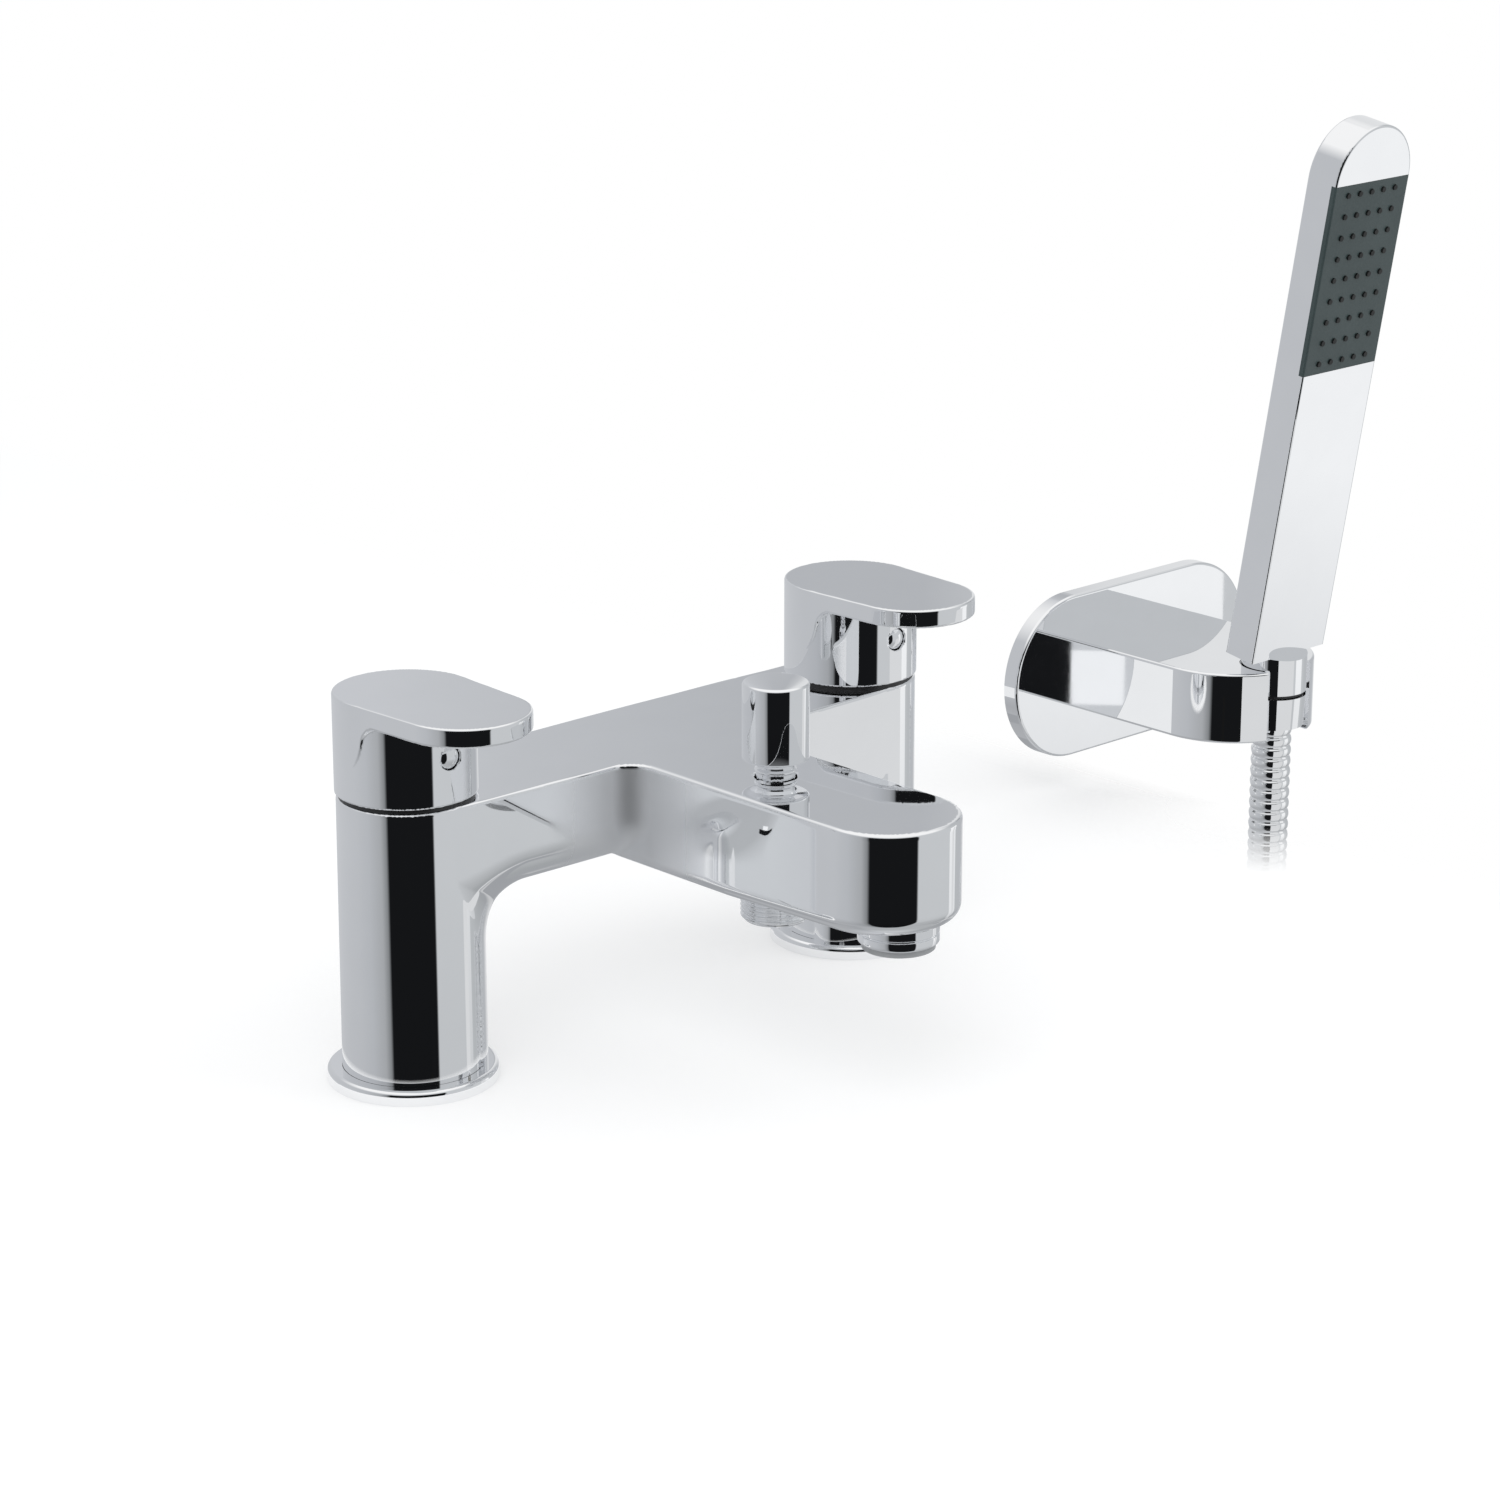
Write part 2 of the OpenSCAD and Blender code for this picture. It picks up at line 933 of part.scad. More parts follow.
// Slightly domed index cap over the grub screw
module index_cap() {
    dome_r = 12;
    cap_front_y = -handle_r - 0.25;
    color("silver")
        intersection() {
            rod_y(cap_r, cap_front_y, -handle_r + cap_depth, cap_z);
            translate([0, cap_front_y + dome_r, cap_z])
                sphere(dome_r);
        }
}

module hot_index_cap() {
    at_hot()
        index_cap();
}

module cold_index_cap() {
    at_cold()
        index_cap();
}

// Bush over the diverter's chamber: an upper seat, a spring room and a guide for the rod
module diverter_bush() {
    color("goldenrod")
        at_diverter()
            difference() {
                rod(chamber_r - fit_gap, bush_low_z, chamber_top_z);
                rod(bush_seat_r, bush_low_z - past, bush_cavity_low_z + past);
                rod(bush_cavity_r, bush_cavity_low_z, bush_cavity_top_z);
                rod(rod_r + run_gap, bush_cavity_top_z - past, chamber_top_z + past);
                rod_y(1.9, -chamber_r - past, 0, (bush_cavity_low_z + bush_cavity_top_z) / 2);
            }
}

// Diverter spool: the rod up to the knob and the valve disc between the two seats
module diverter_spool() {
    color("goldenrod")
        at_diverter() {
            rod(rod_r, valve_disc_top_z - past, rod_top_z);
            rod(valve_disc_r, chamber_low_z + valve_seal_high, valve_disc_top_z);
            rod(rod_r - fit_gap, chamber_low_z - past, chamber_low_z + 2 * past);
        }
}

// Seal on the underside of the valve disc
module diverter_seal() {
    color("dimgray")
        at_diverter()
            ring(valve_disc_r + 1, rod_r, chamber_low_z, chamber_low_z + valve_seal_high);
}

// Points of a round wire that follows a helix
function spring_point(turn, side, mean_r, wire_r, low_z, rise) = [
    (mean_r + wire_r * cos(side)) * cos(turn),
    (mean_r + wire_r * cos(side)) * sin(turn),
    low_z + wire_r * sin(side) + rise * turn / 360];

// Return spring between the valve disc and the bush
module diverter_spring() {
    steps = 12 * spring_turns;
    sides = 5;
    low_z = valve_disc_top_z + spring_wire_r;
    rise = (bush_cavity_top_z - valve_disc_top_z - 2 * spring_wire_r) / spring_turns;
    points = [for (i = [0 : steps]) for (k = [0 : sides - 1])
        spring_point(30 * i, 90 + 360 * k / sides, spring_r, spring_wire_r, low_z, rise)];
    skin = [for (i = [0 : steps - 1]) for (k = [0 : sides - 1]) [
        i * sides + k,
        (i + 1) * sides + k,
        (i + 1) * sides + (k + 1) % sides,
        i * sides + (k + 1) % sides]];
    first_end = [[for (k = [0 : sides - 1]) k]];
    last_end = [[for (k = [0 : sides - 1]) steps * sides + sides - 1 - k]];
    color("gray")
        at_diverter()
            polyhedron(points, concat(skin, first_end, last_end), convexity = 10);
}

// Pull-up knob with its neck
module diverter_knob() {
    color("silver")
        at_diverter()
            difference() {
                union() {
                    intersection() {
                        rod(knob_r, knob_low_z, knob_top_z);
                        translate([0, 0, knob_top_z - knob_dome_r])
                            sphere(knob_dome_r);
                    }
                    rod(neck_r, chamber_top_z + 0.5, knob_low_z + past);
                    rod(neck_hole_r, top_z + 1.8, top_z + 2.4);
                }
                rod(rod_r + fit_gap, chamber_top_z - past, rod_top_z + 0.2);
            }
}

// Shower outlet under the spout, with a bare male end for the hose
module shower_outlet() {
    color("silver")
        at_diverter()
            difference() {
                union() {
                    rod(outlet_bore_r - fit_gap, spout_low_z - past, chamber_low_z);
                    rod(outlet_collar_r, outlet_collar_low_z, spout_low_z);
                    rod(outlet_r, outlet_low_z, outlet_collar_low_z + past);
                }
                rod(outlet_in_r, outlet_low_z - past, chamber_low_z + past);
            }
}

// Check valve pressed into the outlet
module check_valve() {
    web = 1.6;
    color("ivory")
        at_diverter()
            translate([0, 0, outlet_low_z + 2])
                difference() {
                    cylinder(r = outlet_in_r, h = 8);
                    for (turn = [0, 90, 180, 270])
                        rotate([0, 0, turn])
                            translate([web / 2, web / 2, -past])
                                cube([3.4, 3.4, 8 + 2 * past]);
                }
}

// Aerator housing: a collar under the spout with a threaded neck above it
module aerator_housing() {
    color("silver")
        at_aerator()
            difference() {
                union() {
                    rod(aerator_bore_r - fit_gap, aerator_collar_top_z - past, aerator_neck_top_z);
                    rod(aerator_r, aerator_collar_low_z, aerator_collar_top_z);
                }
                rod(aerator_neck_in_r, aerator_collar_low_z - past, aerator_neck_top_z + past);
            }
}

// Aerator insert: a grid inside the housing and a ring below the collar
module aerator_insert() {
    pitch = 2.6;
    hole = 1.7;
    grid_r = 7.4;
    color("gainsboro")
        at_aerator() {
            ring(aerator_neck_in_r - fit_gap, grid_r, aerator_low_z + past, aerator_neck_top_z - 1);
            ring(10.8, grid_r, aerator_low_z, aerator_collar_low_z);
            translate([0, 0, aerator_low_z + past])
                linear_extrude(4)
                    difference() {
                        circle(grid_r + 0.3);
                        for (i = [-2 : 2])
                            for (j = [-2 : 2])
                                if (abs(i) + abs(j) < 4)
                                    translate([i * pitch, j * pitch])
                                        square(hole, center = true);
                    }
        }
}

// Washer above the aerator's neck
module aerator_washer() {
    color("dimgray")
        at_aerator()
            ring(aerator_bore_r - fit_gap, aerator_chamber_r, aerator_neck_top_z, aerator_neck_top_z + 1.5);
}

// Places of the wall plate's parts, seen from the front as (x, z)
module at_plate(y_start, length) {
    translate([holder_x, 0, plate_z])
        towards_front(y_start, length)
            children();
}

// Wall plate: a round-ended cover with a recess behind it
module wall_plate() {
    recess_high = plate_high - 2 * plate_rim;
    color("silver")
        difference() {
            translate([holder_x, wall_y, plate_z])
                rotate([90, 0, 0]) {
                    for (side = [-1, 1])
                        translate([side * (plate_long - plate_high) / 2, 0, 0])
                            soft_disc(plate_high / 2, plate_thick, 1, false);
                    translate([(plate_long - plate_high) / 2, 0, 0])
                        rotate([0, 0, -90])
                            soft_slab(plate_high / 2, plate_long - plate_high, plate_thick, 1, false);
                }
            at_plate(wall_y + past, plate_recess + past)
                stadium(plate_long - 2 * plate_rim, recess_high);
            at_plate(wall_y, plate_thick + past)
                for (side = [-1, 1])
                    translate([side * arm_screw_x, 0])
                        circle(arm_screw_r + fit_gap);
            translate([holder_x, wall_y - fixing_thick / 2, plate_z - plate_high / 2 - past])
                cylinder(r = 1.5, h = plate_rim + 2 * past);
        }
}

// Fixing plate on the wall, inside the wall plate's recess
module fixing_plate() {
    color("gray")
        at_plate(wall_y, fixing_thick)
            difference() {
                stadium(plate_long - 2 * plate_rim - 0.6, plate_high - 2 * plate_rim - 0.6);
                for (side = [-1, 1]) {
                    translate([side * fixing_hole_pitch / 2, 0])
                        circle(fixing_hole_r);
                    translate([side * arm_screw_x, 0])
                        circle(4.6);
                }
            }
}

// Holder arm: a flat-topped tongue, hollow from behind, with an open cradle at its front
module holder_arm() {
    pocket_front_y = cradle_y + cradle_r + arm_wall + 1;
    color("silver")
        difference() {
            translate([holder_x, 0, arm_low_z]) {
                translate([0, plate_front_y, 0])
                    soft_slab(arm_half, arm_straight, arm_high, 1);
                translate([0, arm_tip_y, 0])
                    soft_disc(arm_half, arm_high, 1);
            }
            at_cradle() {
                rod(cradle_r, cradle_cone_z, arm_top_z + past);
                translate([0, 0, arm_low_z])
                    cylinder(r1 = cradle_low_r, r2 = cradle_top_r, h = cradle_cone_z - arm_low_z);
                rod(cradle_low_r, arm_low_z - past, arm_low_z + past);
                translate([-cradle_mouth_half, -2 * cradle_r, arm_low_z - past])
                    cube([2 * cradle_mouth_half, 2 * cradle_r, arm_high + 2 * past]);
            }
            difference() {
                translate([holder_x - arm_half + arm_wall, pocket_front_y, arm_low_z + arm_wall])
                    cube([2 * (arm_half - arm_wall),
                        plate_front_y - pocket_front_y + past,
                        arm_high - 2 * arm_wall]);
                translate([holder_x, 0, plate_z])
                    for (side = [-1, 1])
                        translate([side * arm_screw_x, 0, 0])
                            rod_y(5, pocket_front_y - past, plate_front_y, 0);
            }
            translate([holder_x, 0, plate_z])
                for (side = [-1, 1])
                    translate([side * arm_screw_x, 0, 0])
                        rod_y(arm_screw_r, plate_front_y - arm_screw_long, plate_front_y + past, 0);
        }
}

// Two screws that hold the arm to the wall plate from behind
module arm_screws() {
    head_r = 3.6;
    head_high = 2;
    head_y = wall_y - plate_recess;
    color("gray")
        translate([holder_x, 0, plate_z])
            for (side = [-1, 1])
                translate([side * arm_screw_x, 0, 0])
                    difference() {
                        union() {
                            rod_y(arm_screw_r, plate_front_y - arm_screw_long, head_y + past, 0);
                            rod_y(head_r, head_y, head_y + head_high, 0);
                        }
                        translate([-head_r, head_y + 1.2, -0.5])
                            cube([2 * head_r, past * 2, 1]);
                    }
}

// Small screw in the wall plate's lower rim that grips the fixing plate
module plate_grub_screw() {
    low_z = plate_z - plate_high / 2 + 0.4;
    color("gray")
        translate([holder_x, wall_y - fixing_thick / 2, 0])
            difference() {
                rod(1.4, low_z, plate_z - plate_high / 2 + plate_rim + 0.3);
                translate([0, 0, low_z - past])
                    cylinder(r = 0.8, h = 2, $fn = 6);
            }
}

// Outside of the handset's bar: straight sides, a round top and soft edges
module bar_solid() {
    edge = 0.8;
    translate([0, -bar_thick / 2, 0])
        rotate([-90, 0, 0])
            soft_slab(bar_wide / 2, bar_arc_z, bar_thick, edge);
    translate([0, bar_thick / 2, bar_arc_z])
        rotate([90, 0, 0])
            soft_disc(bar_wide / 2, bar_thick, edge);
}

// Outline of the room for the water inside the bar, from the front
module bar_room() {
    inset = bar_wall + 1;
    translate([-bar_wide / 2 + inset, inset])
        square([bar_wide - 2 * inset, bar_arc_z - inset]);
    translate([0, bar_arc_z])
        circle(bar_wide / 2 - inset);
}

// Flat bar of the handset, hollow for the water, with a recess for the spray panel
module handset_body() {
    color("silver")
        at_bar()
            difference() {
                bar_solid();
                translate([-bar_wide / 2 - past, -bar_thick / 2 - past, panel_low_z])
                    cube([bar_wide + 2 * past, panel_deep + past, panel_long]);
                difference() {
                    towards_front(bar_thick / 2 - bar_wall, bar_thick - 2 * bar_wall)
                        bar_room();
                    translate([-bar_wide / 2, -bar_thick / 2, panel_low_z - 6])
                        cube([bar_wide, panel_deep + 2.4, 6]);
                }
                rod(3.8, -past, bar_wall + 2);
            }
}

// Round neck of the handset, cut to the lean of the bar, with the swivel spigot below
module handset_neck() {
    color("silver")
        difference() {
            at_cradle() {
                rod(grip_r, grip_low_z, neck_top_z + 4);
                rod(swivel_r, swivel_low_z, grip_low_z + past);
            }
            at_bar()
                translate([-2 * grip_r, -2 * grip_r, 0])
                    cube([4 * grip_r, 4 * grip_r, 4 * grip_r]);
            at_cradle()
                rod(water_r, swivel_low_z - past, neck_top_z - 5);
            at_bar()
                rod(3.8, -6, past);
        }
}

// Dark ring between the neck and the hose nut
module neck_ring() {
    color("black")
        at_cradle()
            ring(ring_r, swivel_r + fit_gap, ring_low_z, grip_low_z);
}

// Places of the nozzles on the panel, in the bar's frame
module nozzle_places() {
    first_x = -nozzle_pitch_x * (nozzle_columns - 1) / 2;
    first_z = panel_low_z + panel_long / 2 - nozzle_pitch_z * (nozzle_rows - 1) / 2;
    for (column = [0 : nozzle_columns - 1])
        for (row = [0 : nozzle_rows - 1])
            translate([first_x + column * nozzle_pitch_x, 0, first_z + row * nozzle_pitch_z])
                children();
}

// Dark spray panel across the full width of the bar
module spray_panel() {
    color("darkslategray")
        at_bar()
            difference() {
                intersection() {
                    bar_solid();
                    translate([-bar_wide / 2 - past, -bar_thick / 2 - past, panel_low_z + fit_gap])
                        cube([bar_wide + 2 * past, panel_deep + past, panel_long - 2 * fit_gap]);
                }
                nozzle_places()
                    rod_y(nozzle_r + fit_gap, -bar_thick / 2 - past, -bar_thick / 2 + panel_deep + past, 0);
            }
}

// Rubber nozzles that stand a little out of the panel
module spray_nozzles() {
    color("black")
        at_bar()
            nozzle_places()
                rod_y(nozzle_r, -bar_thick / 2 - nozzle_out, -bar_thick / 2 + panel_deep - fit_gap, 0);
}

// Cone-shaped hose nut that hangs in the cradle
module hose_nut() {
    low_r = cradle_low_r - free_gap + cone_slope * (hose_nut_low_z - arm_low_z);
    high_r = cradle_low_r - free_gap + cone_slope * (hose_nut_top_z - arm_low_z);
    color("silver")
        at_cradle()
            difference() {
                translate([0, 0, hose_nut_low_z])
                    cylinder(r1 = low_r, r2 = high_r, h = hose_nut_top_z - hose_nut_low_z);
                rod(hose_bore_r, hose_nut_low_z - past, hose_nut_top_z);
                rod(swivel_bore_r, swivel_low_z - 1, hose_nut_top_z + past);
            }
}

// Ribbed hose with its bore, straight down from the hose nut
module hose_run() {
    sides = 8;
    levels = 2 * rib_count;
    drop = hose_nut_low_z - run_low_z;
    outer = [for (i = [0 : levels]) for (k = [0 : sides - 1])
        let (r = i % 2 == 0 ? rib_root_r : hose_r)
            [r * cos(360 * k / sides), r * sin(360 * k / sides), hose_nut_low_z - drop * i / levels]];
    inner = [for (z = [hose_nut_low_z, run_low_z]) for (k = [0 : sides - 1])
        [hose_bore_r * cos(360 * k / sides), hose_bore_r * sin(360 * k / sides), z]];
    first_in = (levels + 1) * sides;
    last_out = levels * sides;
    outer_skin = [for (i = [0 : levels - 1]) for (k = [0 : sides - 1]) [
        i * sides + k,
        i * sides + (k + 1) % sides,
        (i + 1) * sides + (k + 1) % sides,
        (i + 1) * sides + k]];
    inner_skin = [for (k = [0 : sides - 1]) [
        first_in + k,
        first_in + sides + k,
        first_in + sides + (k + 1) % sides,
        first_in + (k + 1) % sides]];
    top_face = [for (k = [0 : sides - 1]) [
        first_in + k,
        first_in + (k + 1) % sides,
        (k + 1) % sides,
        k]];
    low_face = [for (k = [0 : sides - 1]) [
        last_out + k,
        last_out + (k + 1) % sides,
        first_in + sides + (k + 1) % sides,
        first_in + sides + k]];
    color("silver")
        at_cradle()
            polyhedron(concat(outer, inner), concat(outer_skin, inner_skin, top_face, low_face), convexity = 10);
}

// The last half turn of the coil eases this far towards the wall
function coil_ease(angle) = coil_side_step * (1 - cos(180 * max(0, min(1, (angle - 360 * coil_turns + 180) / 180)))) / 2;

// Centreline of the coil, from the hose's straight stretch: round turns that step towards the wall
function coil_point(angle) = [
    coil_r - coil_r * cos(angle),
    coil_pitch * angle / 360 + coil_ease(angle),
    coil_z - coil_r * sin(angle)];

tail_low_y = coil_point(360 * coil_turns)[1];
tail_end_z = coil_z - tail_long;
coil_route = concat(
    [[0, 0, run_low_z]],
    [for (i = [0 : coil_steps * coil_turns]) coil_point(360 * i / coil_steps)],
    [[0, tail_low_y, coil_z - hose_d], [0, tail_low_y, tail_end_z]]);

// Gap between neighbouring turns, measured on the route's points
coil_gap = min([for (i = [1 : coil_steps * (coil_turns - 1) + 1]) for (j = [-2 : 2])
    norm(coil_route[i] - coil_route[min(len(coil_route) - 1, i + coil_steps + j)])]) - hose_d;
hose_total = hose_nut_low_z - run_low_z
    + [for (sum = 0, i = 1; i < len(coil_route);
        sum = sum + norm(coil_route[i] - coil_route[i - 1]), i = i + 1)
        sum + norm(coil_route[i] - coil_route[i - 1])][len(coil_route) - 2];
echo(coil_gap = coil_gap, hose_length = hose_total);

// Direction of the route at one of its points
function route_tangent(i) = let (
    before = coil_route[max(0, i - 1)],
    after = coil_route[min(len(coil_route) - 1, i + 1)])
    i == 0 || i >= len(coil_route) - 2 ? [0, 0, -1] : (after - before) / norm(after - before);

// Points round the tube at one place on the route, flats towards the neighbouring turns
function route_ring(i) = let (
    along = route_tangent(i),
    side = [0, 1, 0] - along[1] * along,
    across = side / norm(side),
    up = cross(along, across))
    [for (k = [0 : coil_sides - 1])
        coil_route[i] + hose_r * (sin(360 * k / coil_sides) * across + cos(360 * k / coil_sides) * up)];

// Tied coil of the hose, one unbroken tube
module hose_coil() {
    count = len(coil_route);
    points = [for (i = [0 : count - 1]) each route_ring(i)];
    skin = [for (i = [0 : count - 2]) for (k = [0 : coil_sides - 1]) [
        i * coil_sides + k,
        (i + 1) * coil_sides + k,
        (i + 1) * coil_sides + (k + 1) % coil_sides,
        i * coil_sides + (k + 1) % coil_sides]];
    first_end = [[for (k = [0 : coil_sides - 1]) k]];
    last_end = [[for (k = [0 : coil_sides - 1]) count * coil_sides - 1 - k]];
    color("silver")
        at_cradle()
            polyhedron(points, concat(skin, first_end, last_end), convexity = 10);
}

// Outline of a tie band round the turns, as (along the row of turns, across it)
module tie_outline() {
    clear = hose_r + free_gap;
    row = coil_pitch * (coil_turns - 1);
    difference() {
        translate([-clear - tie_thick, -clear - tie_thick])
            square([row + 2 * (clear + tie_thick), 2 * (clear + tie_thick)]);
        translate([-clear, -clear])
            square([row + 2 * clear, 2 * clear]);
    }
}

// Two bands that tie the turns together, one at the coil's lowest side and one at its far side
module hose_ties() {
    color("dimgray")
        at_cradle() {
            translate([coil_r, coil_point(90)[1], coil_z - coil_r])
                along_x(tie_wide)
                    tie_outline();
            translate([2 * coil_r, coil_point(180)[1], coil_z + tie_wide / 2])
                rotate([0, 90, 0])
                    along_x(tie_wide)
                        tie_outline();
        }
}

// Nut on the hose's free end, for the shower outlet
module hose_end_nut() {
    color("silver")
        at_cradle()
            translate([0, tail_low_y, tail_end_z - end_nut_high])
                difference() {
                    cylinder(r = end_nut_r, h = end_nut_high);
                    translate([0, 0, -past])
                        cylinder(r = end_nut_thread_r, h = end_nut_thread_deep + past);
                    translate([0, 0, end_nut_thread_deep])
                        cylinder(r = end_washer_r, h = end_washer_high);
                    cylinder(r = hose_bore_r, h = end_nut_high + past);
                }
}

// Flat washer at the bottom of the free end's thread
module hose_end_washer() {
    low_z = tail_end_z - end_nut_high + end_nut_thread_deep;
    color("dimgray")
        at_cradle()
            translate([0, tail_low_y, 0])
                ring(end_washer_r - fit_gap, hose_bore_r + 0.5, low_z, low_z + end_washer_high);
}

mixer_body();
hot_flange();
cold_flange();
hot_seal();
cold_seal();
hot_tail();
cold_tail();
hot_rubber_washer();
cold_rubber_washer();
hot_clamp_washer();
cold_clamp_washer();
hot_backnut();
cold_backnut();
hot_cartridge();
cold_cartridge();
hot_seat_seal();
cold_seat_seal();
hot_fixed_disc();
cold_fixed_disc();
hot_glide_ring();
cold_glide_ring();
hot_moving_disc();
cold_moving_disc();
hot_stem();
cold_stem();
hot_handle();
cold_handle();
hot_grub_screw();
cold_grub_screw();
hot_index_cap();
cold_index_cap();
diverter_bush();
diverter_spool();
diverter_seal();
diverter_spring();
diverter_knob();
shower_outlet();
check_valve();
aerator_housing();
aerator_insert();
aerator_washer();
wall_plate();
fixing_plate();
holder_arm();
arm_screws();
plate_grub_screw();
handset_body();
handset_neck();
neck_ring();
spray_panel();
spray_nozzles();
hose_nut();
hose_run();
hose_coil();
hose_ties();
hose_end_nut();
hose_end_washer();
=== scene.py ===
import json
import math

import bpy
import numpy as np
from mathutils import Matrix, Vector


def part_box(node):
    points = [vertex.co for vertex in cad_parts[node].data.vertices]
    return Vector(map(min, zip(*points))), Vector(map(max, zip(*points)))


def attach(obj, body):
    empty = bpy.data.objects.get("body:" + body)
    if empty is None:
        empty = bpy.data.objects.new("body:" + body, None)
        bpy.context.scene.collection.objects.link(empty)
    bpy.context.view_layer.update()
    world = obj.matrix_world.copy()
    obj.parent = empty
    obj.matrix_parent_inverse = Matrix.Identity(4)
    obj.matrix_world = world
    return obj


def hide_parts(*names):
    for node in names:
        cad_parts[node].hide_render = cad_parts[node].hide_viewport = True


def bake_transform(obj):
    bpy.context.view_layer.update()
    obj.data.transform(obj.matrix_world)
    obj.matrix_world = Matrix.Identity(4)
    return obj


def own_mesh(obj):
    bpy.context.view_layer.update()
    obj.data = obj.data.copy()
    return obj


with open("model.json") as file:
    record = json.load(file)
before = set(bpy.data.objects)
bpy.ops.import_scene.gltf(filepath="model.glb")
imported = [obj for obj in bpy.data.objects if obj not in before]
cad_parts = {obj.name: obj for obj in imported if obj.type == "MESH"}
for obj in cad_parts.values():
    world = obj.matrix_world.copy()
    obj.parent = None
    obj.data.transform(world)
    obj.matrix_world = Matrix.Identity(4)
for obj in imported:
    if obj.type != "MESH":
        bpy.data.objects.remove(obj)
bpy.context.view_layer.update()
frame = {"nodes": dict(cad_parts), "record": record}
nodes = frame["nodes"]

MM = 0.001

# Camera of the photograph, in degrees, metres and pixels
VIEW_AZIMUTH = 43.02
VIEW_PITCH = 17.55
VIEW_DISTANCE = 1.34785
VIEW_TARGET = (0.04648, 0.0, 0.07156)
FOCAL_PIXELS = 4315.5
PHOTO_PIXELS = 1500.0
SENSOR = 36.0

# Body, in millimetres
PILLAR_X = 90.0
TOP_Z = 87.9
TOP_EDGE_R = 0.8
PILLAR_FOOT_R = 21.0
PILLAR_TOP_R = 20.6
PILLAR_LOW_Z = 1.2
PILLAR_FILLET_R = 24.0
BRIDGE_HALF = 22.3
BRIDGE_FLAT_HALF = 5.0
BRIDGE_LOW_Z = 56.2
BRIDGE_EDGE_R = 13.8
ARCH_R = 15.0
SPOUT_HALF = 21.8
SPOUT_REACH = 107.4
SPOUT_BACK_Y = -10.0
SPOUT_BACK_R = 2.0
SPOUT_LOW_Z = 54.5
SPOUT_TIP_LOW_Z = 56.7
SPOUT_EDGE_R = 5.0
SPOUT_TOP_EDGE_MORE = 0.6
SPOUT_TOP_EDGE_RUN = 12.0
SPOUT_FILLET_R = (1.5, 8.0)
SPOUT_FILLET_Z = (58.0, 72.0)
AERATOR_REACH = 112.6
AERATOR_LAND_R = 12.4
AERATOR_LAND_Z = (56.3, 60.3)
BODY_CELL = 0.9

# Gloss in the corners between bridge and spout
CORNER_ROUGHNESS = 0.62
CORNER_NEAR = 7.0
CORNER_FAR = 34.0
CORNER_BELOW_TOP = (1.6, 0.6)

# Diverter, in millimetres
DIVERTER_REACH = 60.9
SPRING_R = 4.5
SPRING_WIRE_R = 0.35
SPRING_TURNS = 6
SPRING_STEPS = 24
KNOB_R = 10.0
KNOB_LOW_Z = 93.3
KNOB_LOW_EDGE_R = 0.6
KNOB_TOP_Z = 117.4
KNOB_TOP_EDGE_R = 1.1
KNOB_DOME_R = 70.0
KNOB_DOME_DROP = 0.6
KNOB_SIDES = 72

# Levers, in millimetres, each about its own axis
HANDLE_R = 21.0
HANDLE_TOP_Z = 119.4
HANDLE_EDGE_R = 0.8
HANDLE_CELL = 0.6
SKIRT_LOW_Z = 89.3
SKIRT_EDGE_R = 0.3
SKIRT_IN_R = 18.5
SKIRT_ROOF_Z = 111.0
LEVER_LOW_Z = 113.6
LEVER_TIP_R = 19.6
LEVER_REACH = 27.3
LEVER_SEAM_R = 0.4
LEVER_SEAM_Y = (1.0, 9.0)
SWEEP_R = 5.0
HOLLOW_LOW_Z = 80.0
BOSS_R = 7.5
BOSS_LOW_Z = 97.9
STEM_HOLE_R = 4.1
STEM_HOLE_TOP_Z = 109.5
CAP_Z = 103.3
CAP_BOSS_R = 5.0
CAP_SEAT_R = 3.6
CAP_SEAT_DEPTH = 2.6
CAP_SEAT_CLEAR = 9.0
CAP_R = 3.3
CAP_RIM_R = 3.05
CAP_RIM_DROP = 0.25
CAP_PROUD = 0.24
CAP_DEPTH = 2.4
CAP_DOME_R = 5.6
CAP_CROWN_R = 0.3
CAP_RINGS = 9
CAP_SIDES = 40
SCREW_HOLE_R = 2.6

# Hose, in millimetres
CRADLE = (285.0, -11.5)
HOSE_D = 14.0
HOSE_ROOT_R = 5.95
HOSE_CREST_R = HOSE_D / 2.0 - 0.03
HOSE_SIDES = 20
HOSE_TOP_Z = 33.0
RUN_LOW_Z = -116.0
RUN_STEPS = 30
COIL_R = 70.0
COIL_Z = -130.0
COIL_TURNS = 3
COIL_PITCH = 14.6
COIL_SIDE_STEP = 8.0
COIL_STEPS = 24
COIL_END_TURN = 180.0
TAIL_LOW_Z = -160.0
LINE_STEPS = 24
RIB_PITCH = 3.9
RIB_STEPS = 8
RIB_FULLNESS = 0.9

# A ray's depth is under this while it has met one mirror at most, and over it once it has met two
ONE_MIRROR = 1.5


def place_object(name, data):
    obj = bpy.data.objects.new(name, data)
    bpy.context.scene.collection.objects.link(obj)
    return obj


def turn_to(obj, direction, axis):
    """Turn an object so that the named axis points along a direction and its Y axis upward."""
    obj.rotation_mode = "QUATERNION"
    obj.rotation_quaternion = direction.to_track_quat(axis, "Y")


